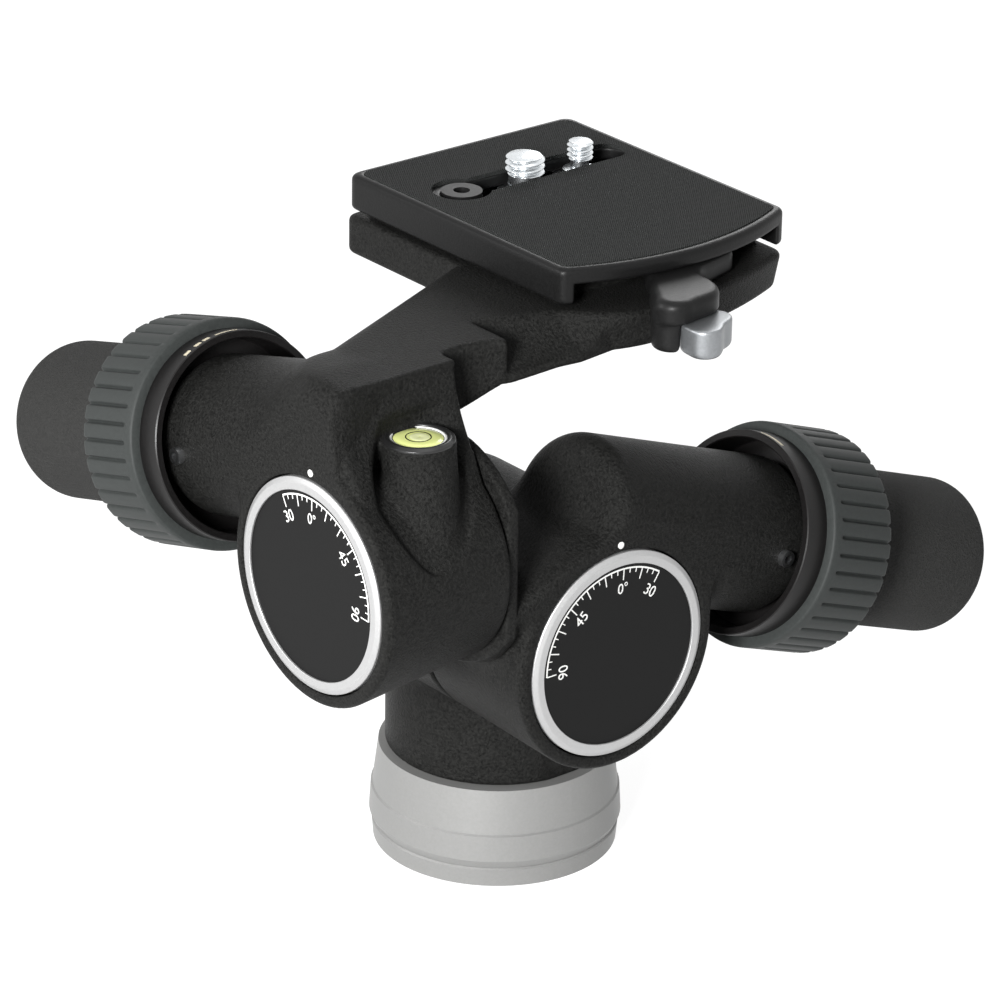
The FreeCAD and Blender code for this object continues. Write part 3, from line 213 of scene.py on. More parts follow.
def upper_field(p):
    """Upper casting: wheel case, worm tube, shoulder, arm and clamp bed."""
    x, y, z = p[:, 0], p[:, 1], p[:, 2]
    unit = local(p, UPPER)
    a, f, n = unit
    off_axis = np.hypot(a, n)
    back = np.clip((y - FRONT_Y) / NARROWING_LENGTH, 0, 1)
    reach = CASE_R - SEAM_NARROWING * back
    case = capped(f, off_axis - reach + CASE_R, CASE_BACK, FACE, CASE_R, 1.6)
    flare = np.exp((FRONT_Y - y) / 6.0)
    high_wall = x - 45.4 - 2.2 * flare
    top = meet(z - BED_TOP, FRONT_Y - y, 9)
    side = plane(x, y, (ARM_SIDE_X, -14.0), (43.7, -34.0))
    side = np.maximum(side, x - ARM_SIDE_X + 0.12 * np.maximum(y + 14, 0))
    body = join(case, worm_tube(unit), 4)
    softness = 3.0 + 13.0 * np.clip((-66.0 - y) / 18.0, 0, 1)
    body = join(body, upper_arm(x, y, z, high_wall, side, top), softness)
    body = np.minimum(body, upper_shoulder(x, y, z, back, high_wall, top))
    body = np.minimum(body, upper_neck(x, y, z, side))
    # hollow panel between the shoulder and the arm's side
    recess = meet(np.hypot(x - 63.2, y + 47.0) - 23.6, -50.1 - y, 2.0)
    recess = np.maximum(recess, y + 29.0)
    body = cut(body, np.maximum(recess, 134.0 - z), 1.8)
    body = np.maximum(body, FRONT_Y - y)
    body = np.minimum(body, clamp_bed(x, y, z))
    # hollow side of the arm, which runs out along the bed
    middle = 52.2 + 0.42 * (y + 22) + 0.5 * np.maximum(y + 14, 0)
    scoop = capped(y, np.hypot(x - middle, z - 167.6), -33.4, 8.0, 24.0, 1.2)
    body = cut(body, scoop, 1.2)
    body = level_seat_in(body, x, y, z, off_axis)
    body = np.maximum(body, np.where(z < 135.0, y - SEAM_Y, NO_LIMIT))
    return rooms(body, unit, True, SPIGOT_END, BORE_R, CHAMBER_ENDS)


def circle_through(p, q, r):
    """Centre and radius of the circle through three points."""
    (ax, ay), (bx, by), (cx, cy) = p, q, r
    d = 2 * (ax * (by - cy) + bx * (cy - ay) + cx * (ay - by))
    aa, bb, cc = ax ** 2 + ay ** 2, bx ** 2 + by ** 2, cx ** 2 + cy ** 2
    ux = (aa * (by - cy) + bb * (cy - ay) + cc * (ay - by)) / d
    uy = (aa * (cx - bx) + bb * (ax - cx) + cc * (bx - ax)) / d
    return ux, uy, math.hypot(ax - ux, ay - uy)


NOSE = circle_through((38.8, 53.6), (47.4, 26.0), (49.2, -2.0))


def lower_field(p):
    """Lower casting: wheel case, worm tube, and the flanged arm that carries the upper unit."""
    x, y, z = p[:, 0], p[:, 1], p[:, 2]
    unit = local(p, LOWER)
    a, f, n = unit
    case = capped(f, np.hypot(a, n) + 0.03 * (FACE - f), CASE_BACK, FACE, CASE_R, 1.4)
    hinge = np.hypot(x - UPPER_X, z - UPPER_Z)
    flange_face, flange_back = -49.7, -46.7
    flange = capped(y, hinge, flange_face, flange_back, 28.0, 0.6)
    arm = capped(y, hinge + 0.222 * (y - flange_face), flange_face, -22.7, 27.0, 1.5)
    arm = meet(arm, z - 97.0 - 0.35 * (y - flange_back), 6)
    boss = capped(y, hinge, flange_face, -38.9, 12.5, 1.0)
    body = join(case, worm_tube(unit), 6)
    body = join(body, join(np.minimum(flange, arm), boss, 3), 5)
    body = np.maximum(body, np.maximum(f - FACE, flange_face - y))
    body = np.maximum(body, np.where(y > flange_back, 26.6 - x, NO_LIMIT))
    return rooms(body, unit, True, SPIGOT_END, BORE_R, CHAMBER_ENDS)


def pan_field(p):
    """Pan casting: column, boss of the lower tilt shaft, and the pan worm's tube."""
    x, y, z = p[:, 0], p[:, 1], p[:, 2]
    unit = local(p, PAN)
    a, f, n = unit
    column = capped(z, np.hypot(x, y), 25.5, 58.0, 27.2, 1.2)
    column = np.maximum(column, np.minimum(x - PAN_FLAT_X, 48.0 - z))
    hinge = np.hypot(y - LOWER_Y, z - LOWER_Z)
    boss = capped(x, hinge, -9.0, PAN_FLAT_X, 27.8, 9.9)
    boss = np.minimum(boss, capped(x, hinge, 8.0, PAN_FLAT_X, 27.8, 0.8))
    boss = meet(boss, np.where(x < 2.0, -39.5 - y, -9.0), 2)
    off = np.hypot(f, n - WORM_N)
    tube = capped(a, off, PAN_TUBE_BACK, PAN_TUBE_END, PAN_TUBE_R, TUBE_BACK_EDGE)
    tube = np.minimum(tube, capped(a, off, TUBE_BACK, PAN_SPIGOT_END, PAN_SPIGOT_R, 0.8))
    body = join(join(column, boss, 5), tube, 4)
    body = np.maximum(body, x - PAN_FLAT_X)
    return rooms(body, unit, False, PAN_SPIGOT_END, PAN_BORE_R, (-12.0, 16.6))


PROBE = 0.02              # mm, for the slope of a field


def sculpt(name, field, low, high, step):
    """Turns a distance field into a mesh whose points lie on the field's own surface."""
    axes = [np.arange(lo, hi + step, step, dtype=np.float32) for lo, hi in zip(low, high)]
    shape = tuple(len(v) for v in axes)
    values = np.empty(shape, dtype=np.float32)
    yy, zz = np.meshgrid(axes[1], axes[2], indexing="ij")
    for i in range(0, shape[0], 8):
        xs = axes[0][i:i + 8]
        block = np.empty((len(xs),) + yy.shape + (3,), dtype=np.float32)
        block[..., 0] = xs[:, None, None]
        block[..., 1] = yy
        block[..., 2] = zz
        values[i:i + 8] = field(block.reshape(-1, 3)).reshape((len(xs),) + yy.shape)
    band = 3 * step
    grid = openvdb.FloatGrid(background=band)
    grid.copyFromArray(np.clip(values, -band, band))
    points, triangles, quads = grid.convertToPolygons(0.0, 0.0)
    points = points.astype(np.float64) * step + np.array(low)
    for _ in range(2):
        here = field(points)
        gradient = np.empty_like(points)
        for axis in range(3):
            moved = points.copy()
            moved[:, axis] += PROBE
            gradient[:, axis] = (field(moved) - here) / PROBE
        length = np.maximum((gradient ** 2).sum(axis=1), 0.25)
        move = here / length
        points -= gradient * np.clip(move, -step * 0.6, step * 0.6)[:, None]
    mesh = bpy.data.meshes.new(name)
    faces = quads[:, ::-1]
    count = len(faces)
    mesh.vertices.add(len(points))
    mesh.vertices.foreach_set("co", (points * MM).astype(np.float32).ravel())
    mesh.loops.add(count * 4)
    mesh.loops.foreach_set("vertex_index", faces.astype(np.int32).ravel())
    mesh.polygons.add(count)
    mesh.polygons.foreach_set("loop_start", np.arange(0, count * 4, 4, dtype=np.int32))
    mesh.polygons.foreach_set("use_smooth", np.ones(count, dtype=bool))
    mesh.update(calc_edges=True)
    mesh.validate()
    piece = bpy.data.objects.new(name, mesh)
    bpy.context.scene.collection.objects.link(piece)
    print(name, len(points), "points", len(triangles), "triangles")
    return piece


SLOT_X = -17.3            # slot of the camera screws


def plate_plan(x, y, inset):
    """Signed distance to the plate's plan: three straight sides and a curved nose."""
    nose = np.hypot(x - PLATE_NOSE[0], y - PLATE_NOSE[1]) - PLATE_NOSE[2] + inset
    sides = meet(meet(-13.4 + inset - y, y - 54.9 + inset, 1), -42.9 + inset - x, 3)
    return meet(sides, nose, 1.5)


PLATE_NOSE = circle_through((36.8, 54.9), (45.2, 20.75), (36.8, -13.4))


def plate_field(p):
    x, y, z = p[:, 0], p[:, 1], p[:, 2]
    body = meet(meet(plate_plan(x, y, 0.0), z - 162.6, 1.6), 153.8 - z, 1.0)
    channel = np.maximum(np.maximum(-10.0 - y, y - 51.5), z - 158.6)
    body = cut(body, channel, 1.0)
    body = cut(body, np.maximum(plate_plan(x, y, 2.2), 161.8 - z), 0.5)
    along = np.clip(y, 1.0, 45.5)
    body = cut(body, np.hypot(x - SLOT_X, y - along) - 4.95, 0.5)
    return body


def bar_plan(x, y, first, first_r, second, second_r):
    """Signed distance to the flat outline that wraps two circles."""
    px, py = x - first[0], y - first[1]
    dx, dy = second[0] - first[0], second[1] - first[1]
    length = math.hypot(dx, dy)
    along = (px * dx + py * dy) / length
    side = np.abs(py * dx - px * dy) / length
    lean = (first_r - second_r) / length
    slope = math.sqrt(1 - lean * lean)
    reach = along * slope - side * lean
    start = np.hypot(along, side) - first_r
    end = np.hypot(along - length, side) - second_r
    middle = along * lean + side * slope - first_r
    return np.where(reach < 0, start, np.where(reach > length * slope, end, middle))


def lever_field(p):
    x, y, z = p[:, 0], p[:, 1], p[:, 2]
    bar = join(bar_plan(x, y, (37.5, 31.0), 5.5, (42.6, 15.2), 5.0),
               bar_plan(x, y, (42.6, 15.2), 5.0, (52.6, 10.4), 7.2), 4)
    bar = join(bar, bar_plan(x, y, (52.6, 10.4), 7.2, (56.4, 4.4), 5.0), 3)
    bar = meet(meet(bar, z - 158.3, 2.2), 152.9 - z, 1.0)
    tab = meet(meet(np.hypot(x - 55.4, y - 4.2) - 4.6, z - 156.0, 1.0), 145.4 - z, 2.0)
    tab = meet(tab, y - 3.6, 1.2)
    return join(bar, tab, 1.5)


def catch_field(p):
    x, y, z = p[:, 0], p[:, 1], p[:, 2]
    plan = join(bar_plan(x, y, (54.4, 10.8), 3.0, (60.2, 13.0), 3.6),
                bar_plan(x, y, (60.2, 13.0), 3.6, (63.6, 7.2), 3.6), 2)
    plan = join(plan, bar_plan(x, y, (63.6, 7.2), 3.6, (60.6, 6.8), 2.8), 2)
    plan = join(plan, bar_plan(x, y, (60.6, 6.8), 2.8, (54.4, 10.8), 3.0), 2)
    body = meet(meet(plan, z - 152.6, 0.7), 145.5 - z, 1.6)
    pin = np.maximum(np.hypot(x - 54.4, y - 10.8) - 1.5, np.abs(z - 154.0) - 2.4)
    return np.minimum(body, pin)


step = 0.6
upper_case = sculpt("upper_casting", upper_field, (-46, -90, 74), (74, 56, 160), step)
lower_case = sculpt("lower_casting", lower_field, (10, -52, 46), (68, 64, 136), step)
pan_case = sculpt("pan_casting", pan_field, (-42, -48, 24), (29, 62, 107), step)
for piece, body, node in ((upper_case, "upper_body", "upper_tilt_housing"),
                          (lower_case, "lower_body", "lower_tilt_housing"),
                          (pan_case, "pan_body", "pan_housing")):
    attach(piece, body)
    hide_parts(node)


# ---------------------------------------------------------------- materials
def material(name, colour, rough, metal=0.0, grain=0.0, grain_scale=2500.0, grain_depth=0.00002,
             tint=0.18, rough_spread=0.08, spec=0.5, weave=0.0):
    """Principled shader with fine noise in colour, roughness and bump."""
    m = bpy.data.materials.new(name)
    m.use_nodes = True
    tree = m.node_tree
    shader = tree.nodes["Principled BSDF"]
    shader.inputs["Metallic"].default_value = metal
    shader.inputs["Specular IOR Level"].default_value = spec
    where = tree.nodes.new("ShaderNodeTexCoord")
    fine = tree.nodes.new("ShaderNodeTexNoise")
    fine.inputs["Scale"].default_value = grain_scale
    fine.inputs["Detail"].default_value = 4.0
    fine.inputs["Roughness"].default_value = 0.65
    tree.links.new(where.outputs["Object"], fine.inputs["Vector"])
    colours = tree.nodes.new("ShaderNodeValToRGB")
    dark = [c * (1 - tint) for c in colour]
    light = [c * (1 + tint) for c in colour]
    colours.color_ramp.elements[0].position = 0.3
    colours.color_ramp.elements[0].color = (*dark, 1)
    colours.color_ramp.elements[1].position = 0.7
    colours.color_ramp.elements[1].color = (*light, 1)
    tree.links.new(fine.outputs["Fac"], colours.inputs["Fac"])
    tree.links.new(colours.outputs["Color"], shader.inputs["Base Color"])
    roughness = tree.nodes.new("ShaderNodeMapRange")
    roughness.inputs["To Min"].default_value = rough - rough_spread
    roughness.inputs["To Max"].default_value = rough + rough_spread
    tree.links.new(fine.outputs["Fac"], roughness.inputs["Value"])
    tree.links.new(roughness.outputs["Result"], shader.inputs["Roughness"])
    if grain:
        bump = tree.nodes.new("ShaderNodeBump")
        bump.inputs["Strength"].default_value = grain
        bump.inputs["Distance"].default_value = grain_depth
        height = fine.outputs["Fac"]
        if weave:
            lines = tree.nodes.new("ShaderNodeTexWave")
            lines.bands_direction = "DIAGONAL"
            lines.inputs["Scale"].default_value = weave
            lines.inputs["Distortion"].default_value = 0.4
            tree.links.new(where.outputs["Object"], lines.inputs["Vector"])
            height = lines.outputs["Fac"]
        tree.links.new(height, bump.inputs["Height"])
        tree.links.new(bump.outputs["Normal"], shader.inputs["Normal"])
    return m


casting = material("powder_coat", (0.0125, 0.0125, 0.0119), 0.40, grain=1.0, grain_scale=1500.0, spec=0.05,
                   grain_depth=0.00050, tint=0.75, rough_spread=0.2)
knob_skin = material("knob_skin", (0.031, 0.031, 0.030), 0.72, grain=1.0, grain_scale=1700.0, spec=0.1,
                     grain_depth=0.00070, tint=0.3)
rubber = material("grip_rubber", (0.026, 0.029, 0.028), 0.6, grain=0.3, grain_scale=1200.0, spec=0.25)
black_metal = material("collar_black", (0.006, 0.0055, 0.0055), 0.38, grain=0.35,
                       grain_scale=1500.0, spec=0.25)
plate_black = material("anodised_black", (0.006, 0.006, 0.006), 0.40, grain=0.6,
                       grain_scale=1600.0, spec=0.16, grain_depth=0.00008)
lever_black = material("lever_black", (0.008, 0.008, 0.008), 0.40, grain=0.4, grain_scale=1600.0, spec=0.15,
                       grain_depth=0.00006)
pad_rubber = material("pad_rubber", (0.042, 0.044, 0.043), 0.8, grain=1.0, grain_scale=1500.0, spec=0.15,
                      grain_depth=0.00060, tint=0.25, weave=990.0)
silver = material("cast_silver", (0.24, 0.24, 0.235), 0.40, metal=0.3, grain=0.6,
                  grain_scale=1300.0, tint=0.04)
rim_grey = material("rim_grey", (0.015, 0.015, 0.015), 0.3, metal=0.2, grain=0.2, tint=0.1)
cream = material("cream_ink", (0.62, 0.56, 0.42), 0.6, tint=0.05)
bubble_light = material("bubble_light", (0.86, 0.90, 0.50), 0.12, tint=0.03)
ring_silver = material("ring_silver", (0.46, 0.46, 0.46), 0.45, metal=0.7, grain=0.15,
                       grain_scale=2000.0, tint=0.04)
dial_black = material("dial_black", (0.004, 0.004, 0.004), 0.5, grain=0.3, grain_scale=1800.0, spec=0.14)
white_ink = material("white_ink", (0.75, 0.75, 0.73), 0.6, tint=0.04)
zinc_bright = material("zinc_bright", (0.75, 0.78, 0.80), 0.28, metal=1.0, tint=0.06)
steel = material("steel", (0.55, 0.56, 0.57), 0.3, metal=1.0, tint=0.05)
zinc = material("zinc", (0.55, 0.58, 0.60), 0.3, metal=1.0, tint=0.08)
bronze = material("bronze", (0.45, 0.28, 0.13), 0.4, metal=1.0, tint=0.1)
vial = material("vial_green", (0.80, 0.86, 0.32), 0.15, tint=0.03)
catch_silver = material("catch_silver", (0.26, 0.27, 0.28), 0.4, metal=0.8, grain=0.3,
                        grain_scale=1500.0, tint=0.08)

for piece in (upper_case, lower_case, pan_case):
    piece.data.materials.append(casting)

by_node = {
    "base_casting": silver, "plate_pad": pad_rubber, "camera_plate": plate_black,
    "release_lever": lever_black, "safety_catch": catch_silver, "level_vial": vial, "level_ring": ring_silver,
    "camera_screw_3_8": zinc, "camera_screw_1_4": zinc, "slot_bush": lever_black,
}
STEEL_ENDINGS = ("_shaft", "_spindle", "_worm", "_nut", "_washer", "_pin", "_screw", "_insert", "3_8", "1_4")
for name, node in nodes.items():
    if name in by_node:
        chosen = by_node[name]
    elif name.endswith("_knob"):
        chosen = knob_skin
    elif name.endswith("_grip"):
        chosen = rubber
    elif name.endswith("_collar"):
        chosen = black_metal
    elif name.endswith("_dial_ring"):
        chosen = ring_silver
    elif name.endswith("_dial_disc"):
        chosen = dial_black
    elif name.endswith("_dot"):
        chosen = white_ink
    elif name.endswith(("_wheel", "_bushes", "_bushing", "_bush")):
        chosen = bronze
    elif name.endswith(STEEL_ENDINGS):
        chosen = steel
    else:
        chosen = casting
    if not node.data.materials:
        node.data.materials.append(chosen)
    for slot in node.material_slots:
        slot.link = "OBJECT"
        slot.material = chosen

# ---------------------------------------------------------------- pieces in front of the castings
def dress(mesh, name, body, slot, finish, *replaced):
    """Hangs a mesh on a body with its finish."""
    mesh.name = name
    mesh.materials.clear()
    mesh.materials.append(finish)
    piece = bpy.data.objects.new(name, mesh)
    bpy.context.scene.collection.objects.link(piece)
    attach(piece, body)
    if replaced:
        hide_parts(*replaced)
    return piece


def mesh_of(bm, sharp=30.0):
    bmesh.ops.recalc_face_normals(bm, faces=bm.faces)
    mesh = bpy.data.meshes.new("piece")
    bm.to_mesh(mesh)
    bm.free()
    mesh.shade_smooth()
    mesh.set_sharp_from_angle(angle=math.radians(sharp))
    return mesh


def skin(rows, wrap_rows=False):
    """Quads over rows of points in mm; each row closes on itself."""
    bm = bmesh.new()
    made = [[bm.verts.new(Vector(p) * MM) for p in row] for row in rows]
    count = len(made[0])
    last = len(made) if wrap_rows else len(made) - 1
    for i in range(last):
        one, two = made[i], made[(i + 1) % len(made)]
        for j in range(count):
            k = (j + 1) % count
            bm.faces.new((one[j], one[k], two[k], two[j]))
    if not wrap_rows:
        bm.faces.new(made[0])
        bm.faces.new(list(reversed(made[-1])))
    return bm


def turned(origin, axis, start, profile, steps=144, loop=True):
    """Turned shape round an axis; profile holds (along, radius) pairs."""
    origin, axis, start = Vector(origin), Vector(axis).normalized(), Vector(start).normalized()
    across = axis.cross(start)
    rows = []
    for along, radius in profile:
        row = []
        for i in range(steps):
            turn = math.tau * i / steps
            row.append(origin + axis * along + (start * math.cos(turn) + across * math.sin(turn)) * radius)
        rows.append(row)
    return skin(rows, loop)


def softened(profile, edge=0.35):
    """Cuts every corner of a closed profile with two short chamfers."""
    out = []
    count = len(profile)
    for i in range(count):
        here = Vector((*profile[i], 0))
        for other, near in ((profile[i - 1], 1.0), (profile[i - 1], 0.4)):
            step_to = Vector((*other, 0)) - here
            out.append((here + step_to.normalized() * min(edge * near, step_to.length * 0.45))[:2])
        for other, near in ((profile[(i + 1) % count], 0.4), (profile[(i + 1) % count], 1.0)):
            step_to = Vector((*other, 0)) - here
            out.append((here + step_to.normalized() * min(edge * near, step_to.length * 0.45))[:2])
    return out


# silver rings, and the printed scales on the black discs
DIALS = (("upper", UPPER, Vector((1, 0, 0)), "lower_body", (1.0, 1.5), 1),
         ("lower", LOWER, Vector((0, -1, 0)), "pan_body", (-4.2, 4.0), -1))
PRINT = 0.05              # thickness of the ink


def slab(bm, outline, spot):
    """Thin printed shape: its outline in the dial's plane, raised by the ink's thickness."""
    low = [bm.verts.new(spot(x, y, FACE) * MM) for x, y in outline]
    high = [bm.verts.new(spot(x, y, FACE + PRINT) * MM) for x, y in outline]
    count = len(outline)
    for i in range(count):
        j = (i + 1) % count
        bm.faces.new((low[i], low[j], high[j], high[i]))
    bm.faces.new(high)
    bm.faces.new(list(reversed(low)))


def polar(radius, degrees):
    return radius * math.sin(math.radians(degrees)), radius * math.cos(math.radians(degrees))


def letters(text, height, narrow):
    """Flat outline mesh of some figures, centred on the origin, in mm."""
    curve = bpy.data.curves.new("figures", "FONT")
    curve.body = text
    curve.size = 1.0
    curve.fill_mode = "FRONT"
    holder = bpy.data.objects.new("figures", curve)
    flat = bpy.data.meshes.new_from_object(holder)
    bpy.data.objects.remove(holder)
    bpy.data.curves.remove(curve)
    xs = [v.co.x for v in flat.vertices]
    ys = [v.co.y for v in flat.vertices]
    grow = height / (max(ys) - min(ys))
    middle = ((max(xs) + min(xs)) / 2, (max(ys) + min(ys)) / 2)
    points = [((v.co.x - middle[0]) * grow * narrow, (v.co.y - middle[1]) * grow) for v in flat.vertices]
    faces = [list(f.vertices) for f in flat.polygons]
    bpy.data.meshes.remove(flat)
    return points, faces


for side, unit, across, holder, shift, facing in DIALS:
    front = Vector(unit["f"])
    centre = Vector(unit["o"])
    ring = [(16.4, 22.27), (18.9, 22.27), (18.9, 24.1), (18.3, 25.26), (16.4, 25.26)]
    mesh = mesh_of(turned(centre, front, (0, 0, 1), softened(ring, 0.3)))
    dress(mesh, side + "_silver_ring", holder, "dial_silver", ring_silver, side + "_dial_ring")

    def spot(x, y, f):
        return centre + front * f + across * x + Vector((0, 0, y))

    def shifted(v):
        """Where a reading lies on the dial, in degrees from the top."""
        return v + shift[0] + shift[1] * (v + 30) / 120

    bm = bmesh.new()
    arc = [shifted(-30 + 2 * i) for i in range(61)]
    slab(bm, [polar(21.4, v) for v in arc] + [polar(21.0, v) for v in reversed(arc)], spot)
    for reading in range(-30, 91, 5):
        long = reading % 15 == 0
        v = shifted(reading)
        inner, half = (18.4, 0.14) if long else (20.0, 0.12)
        x0, y0 = polar(1.0, v)
        outline = [(x0 * r + y0 * w, y0 * r - x0 * w) for r, w in
                   ((21.02, -half), (21.02, half), (inner, half), (inner, -half))]
        slab(bm, outline, spot)
    dress(mesh_of(bm), side + "_scale", holder, "index_white", white_ink)

    bm = bmesh.new()
    for reading, text in ((-30, "30"), (0, "0\u00b0"), (45, "45"), (90, "90")):
        points, faces = letters(text, 2.7, 0.95)
        v = math.radians(shifted(reading))
        x0, y0 = polar(16.4, shifted(reading))
        made = []
        for x, y in points:
            x *= facing
            made.append(bm.verts.new(spot(x0 + x * math.cos(v) + y * math.sin(v),
                                          y0 - x * math.sin(v) + y * math.cos(v), FACE + PRINT) * MM))
        for face in faces:
            bm.faces.new([made[i] for i in face])
    flat_faces = list(bm.faces)
    grown = bmesh.ops.extrude_face_region(bm, geom=flat_faces)
    moved = [v for v in grown["geom"] if isinstance(v, bmesh.types.BMVert)]
    bmesh.ops.translate(bm, verts=moved, vec=front * -PRINT * MM)
    dress(mesh_of(bm), side + "_figures", holder, "index_white", white_ink)

# bubble level: rim, white seat, vial and its ring
level_at = Vector((51.3, -65.6, 0.7))      # the profiles below hold heights, which this lifts a little
UP = Vector((0, 0, 1))
SIDE = Vector((1, 0, 0))
rim = [(137.0, 6.42), (139.2, 6.42), (139.45, 6.7), (139.45, 7.4), (138.9, 8.3), (137.0, 8.3)]
dress(mesh_of(turned(level_at, UP, SIDE, softened(rim, 0.2))), "level_rim", "upper_body", "collar_black",
      rim_grey, "level_ring")
white_rim = [(137.0, 5.8), (138.9, 5.8), (139.1, 6.0), (139.0, 6.41), (137.0, 6.41)]
dress(mesh_of(turned(level_at, UP, SIDE, softened(white_rim, 0.15))), "level_seat", "upper_body", "level_rim",
      white_ink)
glass = [(137.0, 0.02), (137.0, 5.79), (138.7, 5.79), (138.95, 5.4), (139.1, 3.5), (139.14, 0.02)]
dress(mesh_of(turned(level_at, UP, SIDE, glass, loop=False)), "level_glass", "upper_body", "vial_green",
      vial, "level_vial")
mark = [(138.95, 2.72), (139.18, 2.72), (139.18, 2.95), (138.95, 2.95)]
dress(mesh_of(turned(level_at, UP, SIDE, mark, 64)), "level_mark", "upper_body", "lever_black", dial_black)
bubble = [(139.1, 0.02), (139.17, 0.5), (139.18, 1.6), (139.16, 2.1), (139.1, 2.3), (139.0, 0.02)]
dress(mesh_of(turned(level_at + Vector((0.25, 0.2, 0)), UP, SIDE, bubble, 48, loop=False)), "level_bubble",
      "upper_body", "vial_green", bubble_light)

# plate, lever and catch
fine = 0.35
for name, field, low, high, size, body, slot, finish, node in (
        ("quick_plate", plate_field, (-44, -15, 153), (46.5, 56.5, 163.6), fine * 1.3, "upper_body",
         "plate_black", plate_black, "camera_plate"),
        ("lever_arm", lever_field, (30, -2, 144), (62, 38, 159.5), fine, "lever", "lever_black",
         lever_black, "release_lever"),
        ("catch_thumb", catch_field, (50, 2, 144), (69, 18, 157.5), fine, "catch", "catch_silver",
         catch_silver, "safety_catch")):
    piece = sculpt(name, field, low, high, size)
    piece.data.materials.append(finish)
    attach(piece, body)
    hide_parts(node)


def screw(name, body, node, place_y, thread_r, head_r, pitch):
    """Captive screw with a cut thread above the pad."""
    bottom, head_top, shoulder_top, neck_top, top = 155.0, 157.6, 160.2, 162.8, 167.2
    shoulder_r, neck_r = 4.1, thread_r - 0.9
    rows = []
    steps = 48
    heights = [(bottom, head_r), (head_top, head_r), (head_top, shoulder_r), (shoulder_top, shoulder_r),
               (shoulder_top, neck_r), (neck_top - 0.2, neck_r)]
    count = 64
    for i in range(count + 1):
        heights.append((neck_top + (top - neck_top) * i / count, None))
    for z, radius in heights:
        row = []
        for j in range(steps):
            turn = math.tau * j / steps
            r = radius
            if r is None:
                phase = ((z - neck_top) / pitch - j / steps) % 1.0
                depth = 0.54 * pitch
                r = thread_r - depth * min(1.0, max(0.0, 1.25 * (1 - abs(2 * phase - 1)) - 0.12))
                r = min(r, thread_r - 0.55 + (top - z) * 1.2, thread_r - 0.4 + (z - neck_top) * 1.5)
            row.append((SLOT_X + r * math.cos(turn), place_y + r * math.sin(turn), z))
        rows.append(row)
    dress(mesh_of(skin(rows), 40.0), name, body, "zinc", zinc_bright, node)


screw("screw_large", "screw_3_8", "camera_screw_3_8", 20.3, 4.76, 6.8, 1.59)
screw("screw_small", "screw_1_4", "camera_screw_1_4", 37.4, 3.175, 5.6, 1.27)

# release collars and their ribbed grips, each groove as (share of the spacing, share of its depth)
GROOVE = ((0.0, 1.0), (0.05, 0.85), (0.09, 0.45), (0.13, 0.14), (0.19, 0.0), (0.5, 0.0), (0.81, 0.0),
          (0.87, 0.14), (0.91, 0.45), (0.95, 0.85))
RIBS = 40
GROOVE_DEPTH = 0.95
COLLAR_R = 24.6
for side, mouth, grip_start, web, end, mouth_r, collar_r, grip_r, bore_r in (
        ("upper", 44.1, 50.6, 53.3, 70.9, 22.7, COLLAR_R, 27.2, SPIGOT_R + 0.05),
        ("lower", 44.1, 50.6, 53.3, 70.9, 22.7, COLLAR_R, 27.2, SPIGOT_R + 0.05),
        ("pan", 33.1, 39.6, 42.3, 59.9, 17.1, 18.7, 21.3, PAN_SPIGOT_R + 0.05)):
    unit = UNITS[side]
    centre = world(unit, 0, 0, WORM_N)
    axis, start, across = Vector(unit["a"]), Vector(unit["n"]), Vector(unit["f"])
    collar = [(mouth, mouth_r), (mouth, collar_r), (end, collar_r),
              (end, bore_r), (web, bore_r), (web, mouth_r)]
    dress(mesh_of(turned(centre, axis, start, softened(collar, 0.6))), side + "_sleeve", side + "_collar",
          "collar_black", black_metal, side + "_release_collar")
    rows = []
    fade = ((grip_start, collar_r + 0.02, 0), (grip_start, grip_r - 0.6, 0),
            (grip_start + 0.2, grip_r - 0.2, 0), (grip_start + 0.7, grip_r, 0),
            (grip_start + 2.6, grip_r, 0), (grip_start + 2.9, grip_r, 0.25),
            (grip_start + 3.3, grip_r, 0.7), (grip_start + 3.8, grip_r, 1), (end - 1.3, grip_r, 1),
            (end - 0.6, grip_r - 0.15, 1), (end - 0.2, grip_r - 0.45, 1), (end, grip_r - 0.9, 0.5),
            (end, collar_r + 0.02, 0))
    for a, radius, amount in fade:
        row = []
        for rib in range(RIBS):
            for share, depth in GROOVE:
                turn = math.tau * (rib + share) / RIBS
                r = radius - GROOVE_DEPTH * depth * amount
                row.append(centre + axis * a + (start * math.cos(turn) + across * math.sin(turn)) * r)
        rows.append(row)
    dress(mesh_of(skin(rows, True), 50.0), side + "_ribbed_grip", side + "_collar", "grip_rubber", rubber,
          side + "_collar_grip")

# cream marks on the collars: from and to along the collar in mm, then from and to round it in degrees
MARKS = {"upper": ((44.9, 46.0, 28, 24), (44.9, 46.0, 20, 16), (44.9, 46.0, 14, 10), (44.9, 45.5, 6, -8)),
         "lower": ((45.2, 45.9, -4, 14),)}
for side, marks in MARKS.items():
    unit = UNITS[side]
    bm = bmesh.new()
    for a0, a1, first, last in marks:
        steps = 6
        lines = []
        for r, ends in ((COLLAR_R, (a0, a1)), (COLLAR_R + 0.06, (a1, a0))):
            for a in ends:
                line = []
                for i in range(steps + 1):
                    turn = math.radians(first + (last - first) * i / steps)
                    line.append(bm.verts.new(world(unit, a, r * math.sin(turn),
                                                   WORM_N + r * math.cos(turn)) * MM))
                lines.append(line)
        for k in range(4):
            one, two = lines[k], lines[(k + 1) % 4]
            for i in range(steps):
                bm.faces.new((one[i], one[i + 1], two[i + 1], two[i]))
        bm.faces.new([line[0] for line in lines])
        bm.faces.new([line[-1] for line in reversed(lines)])
    dress(mesh_of(bm), side + "_collar_marks", side + "_collar", "index_white", cream)

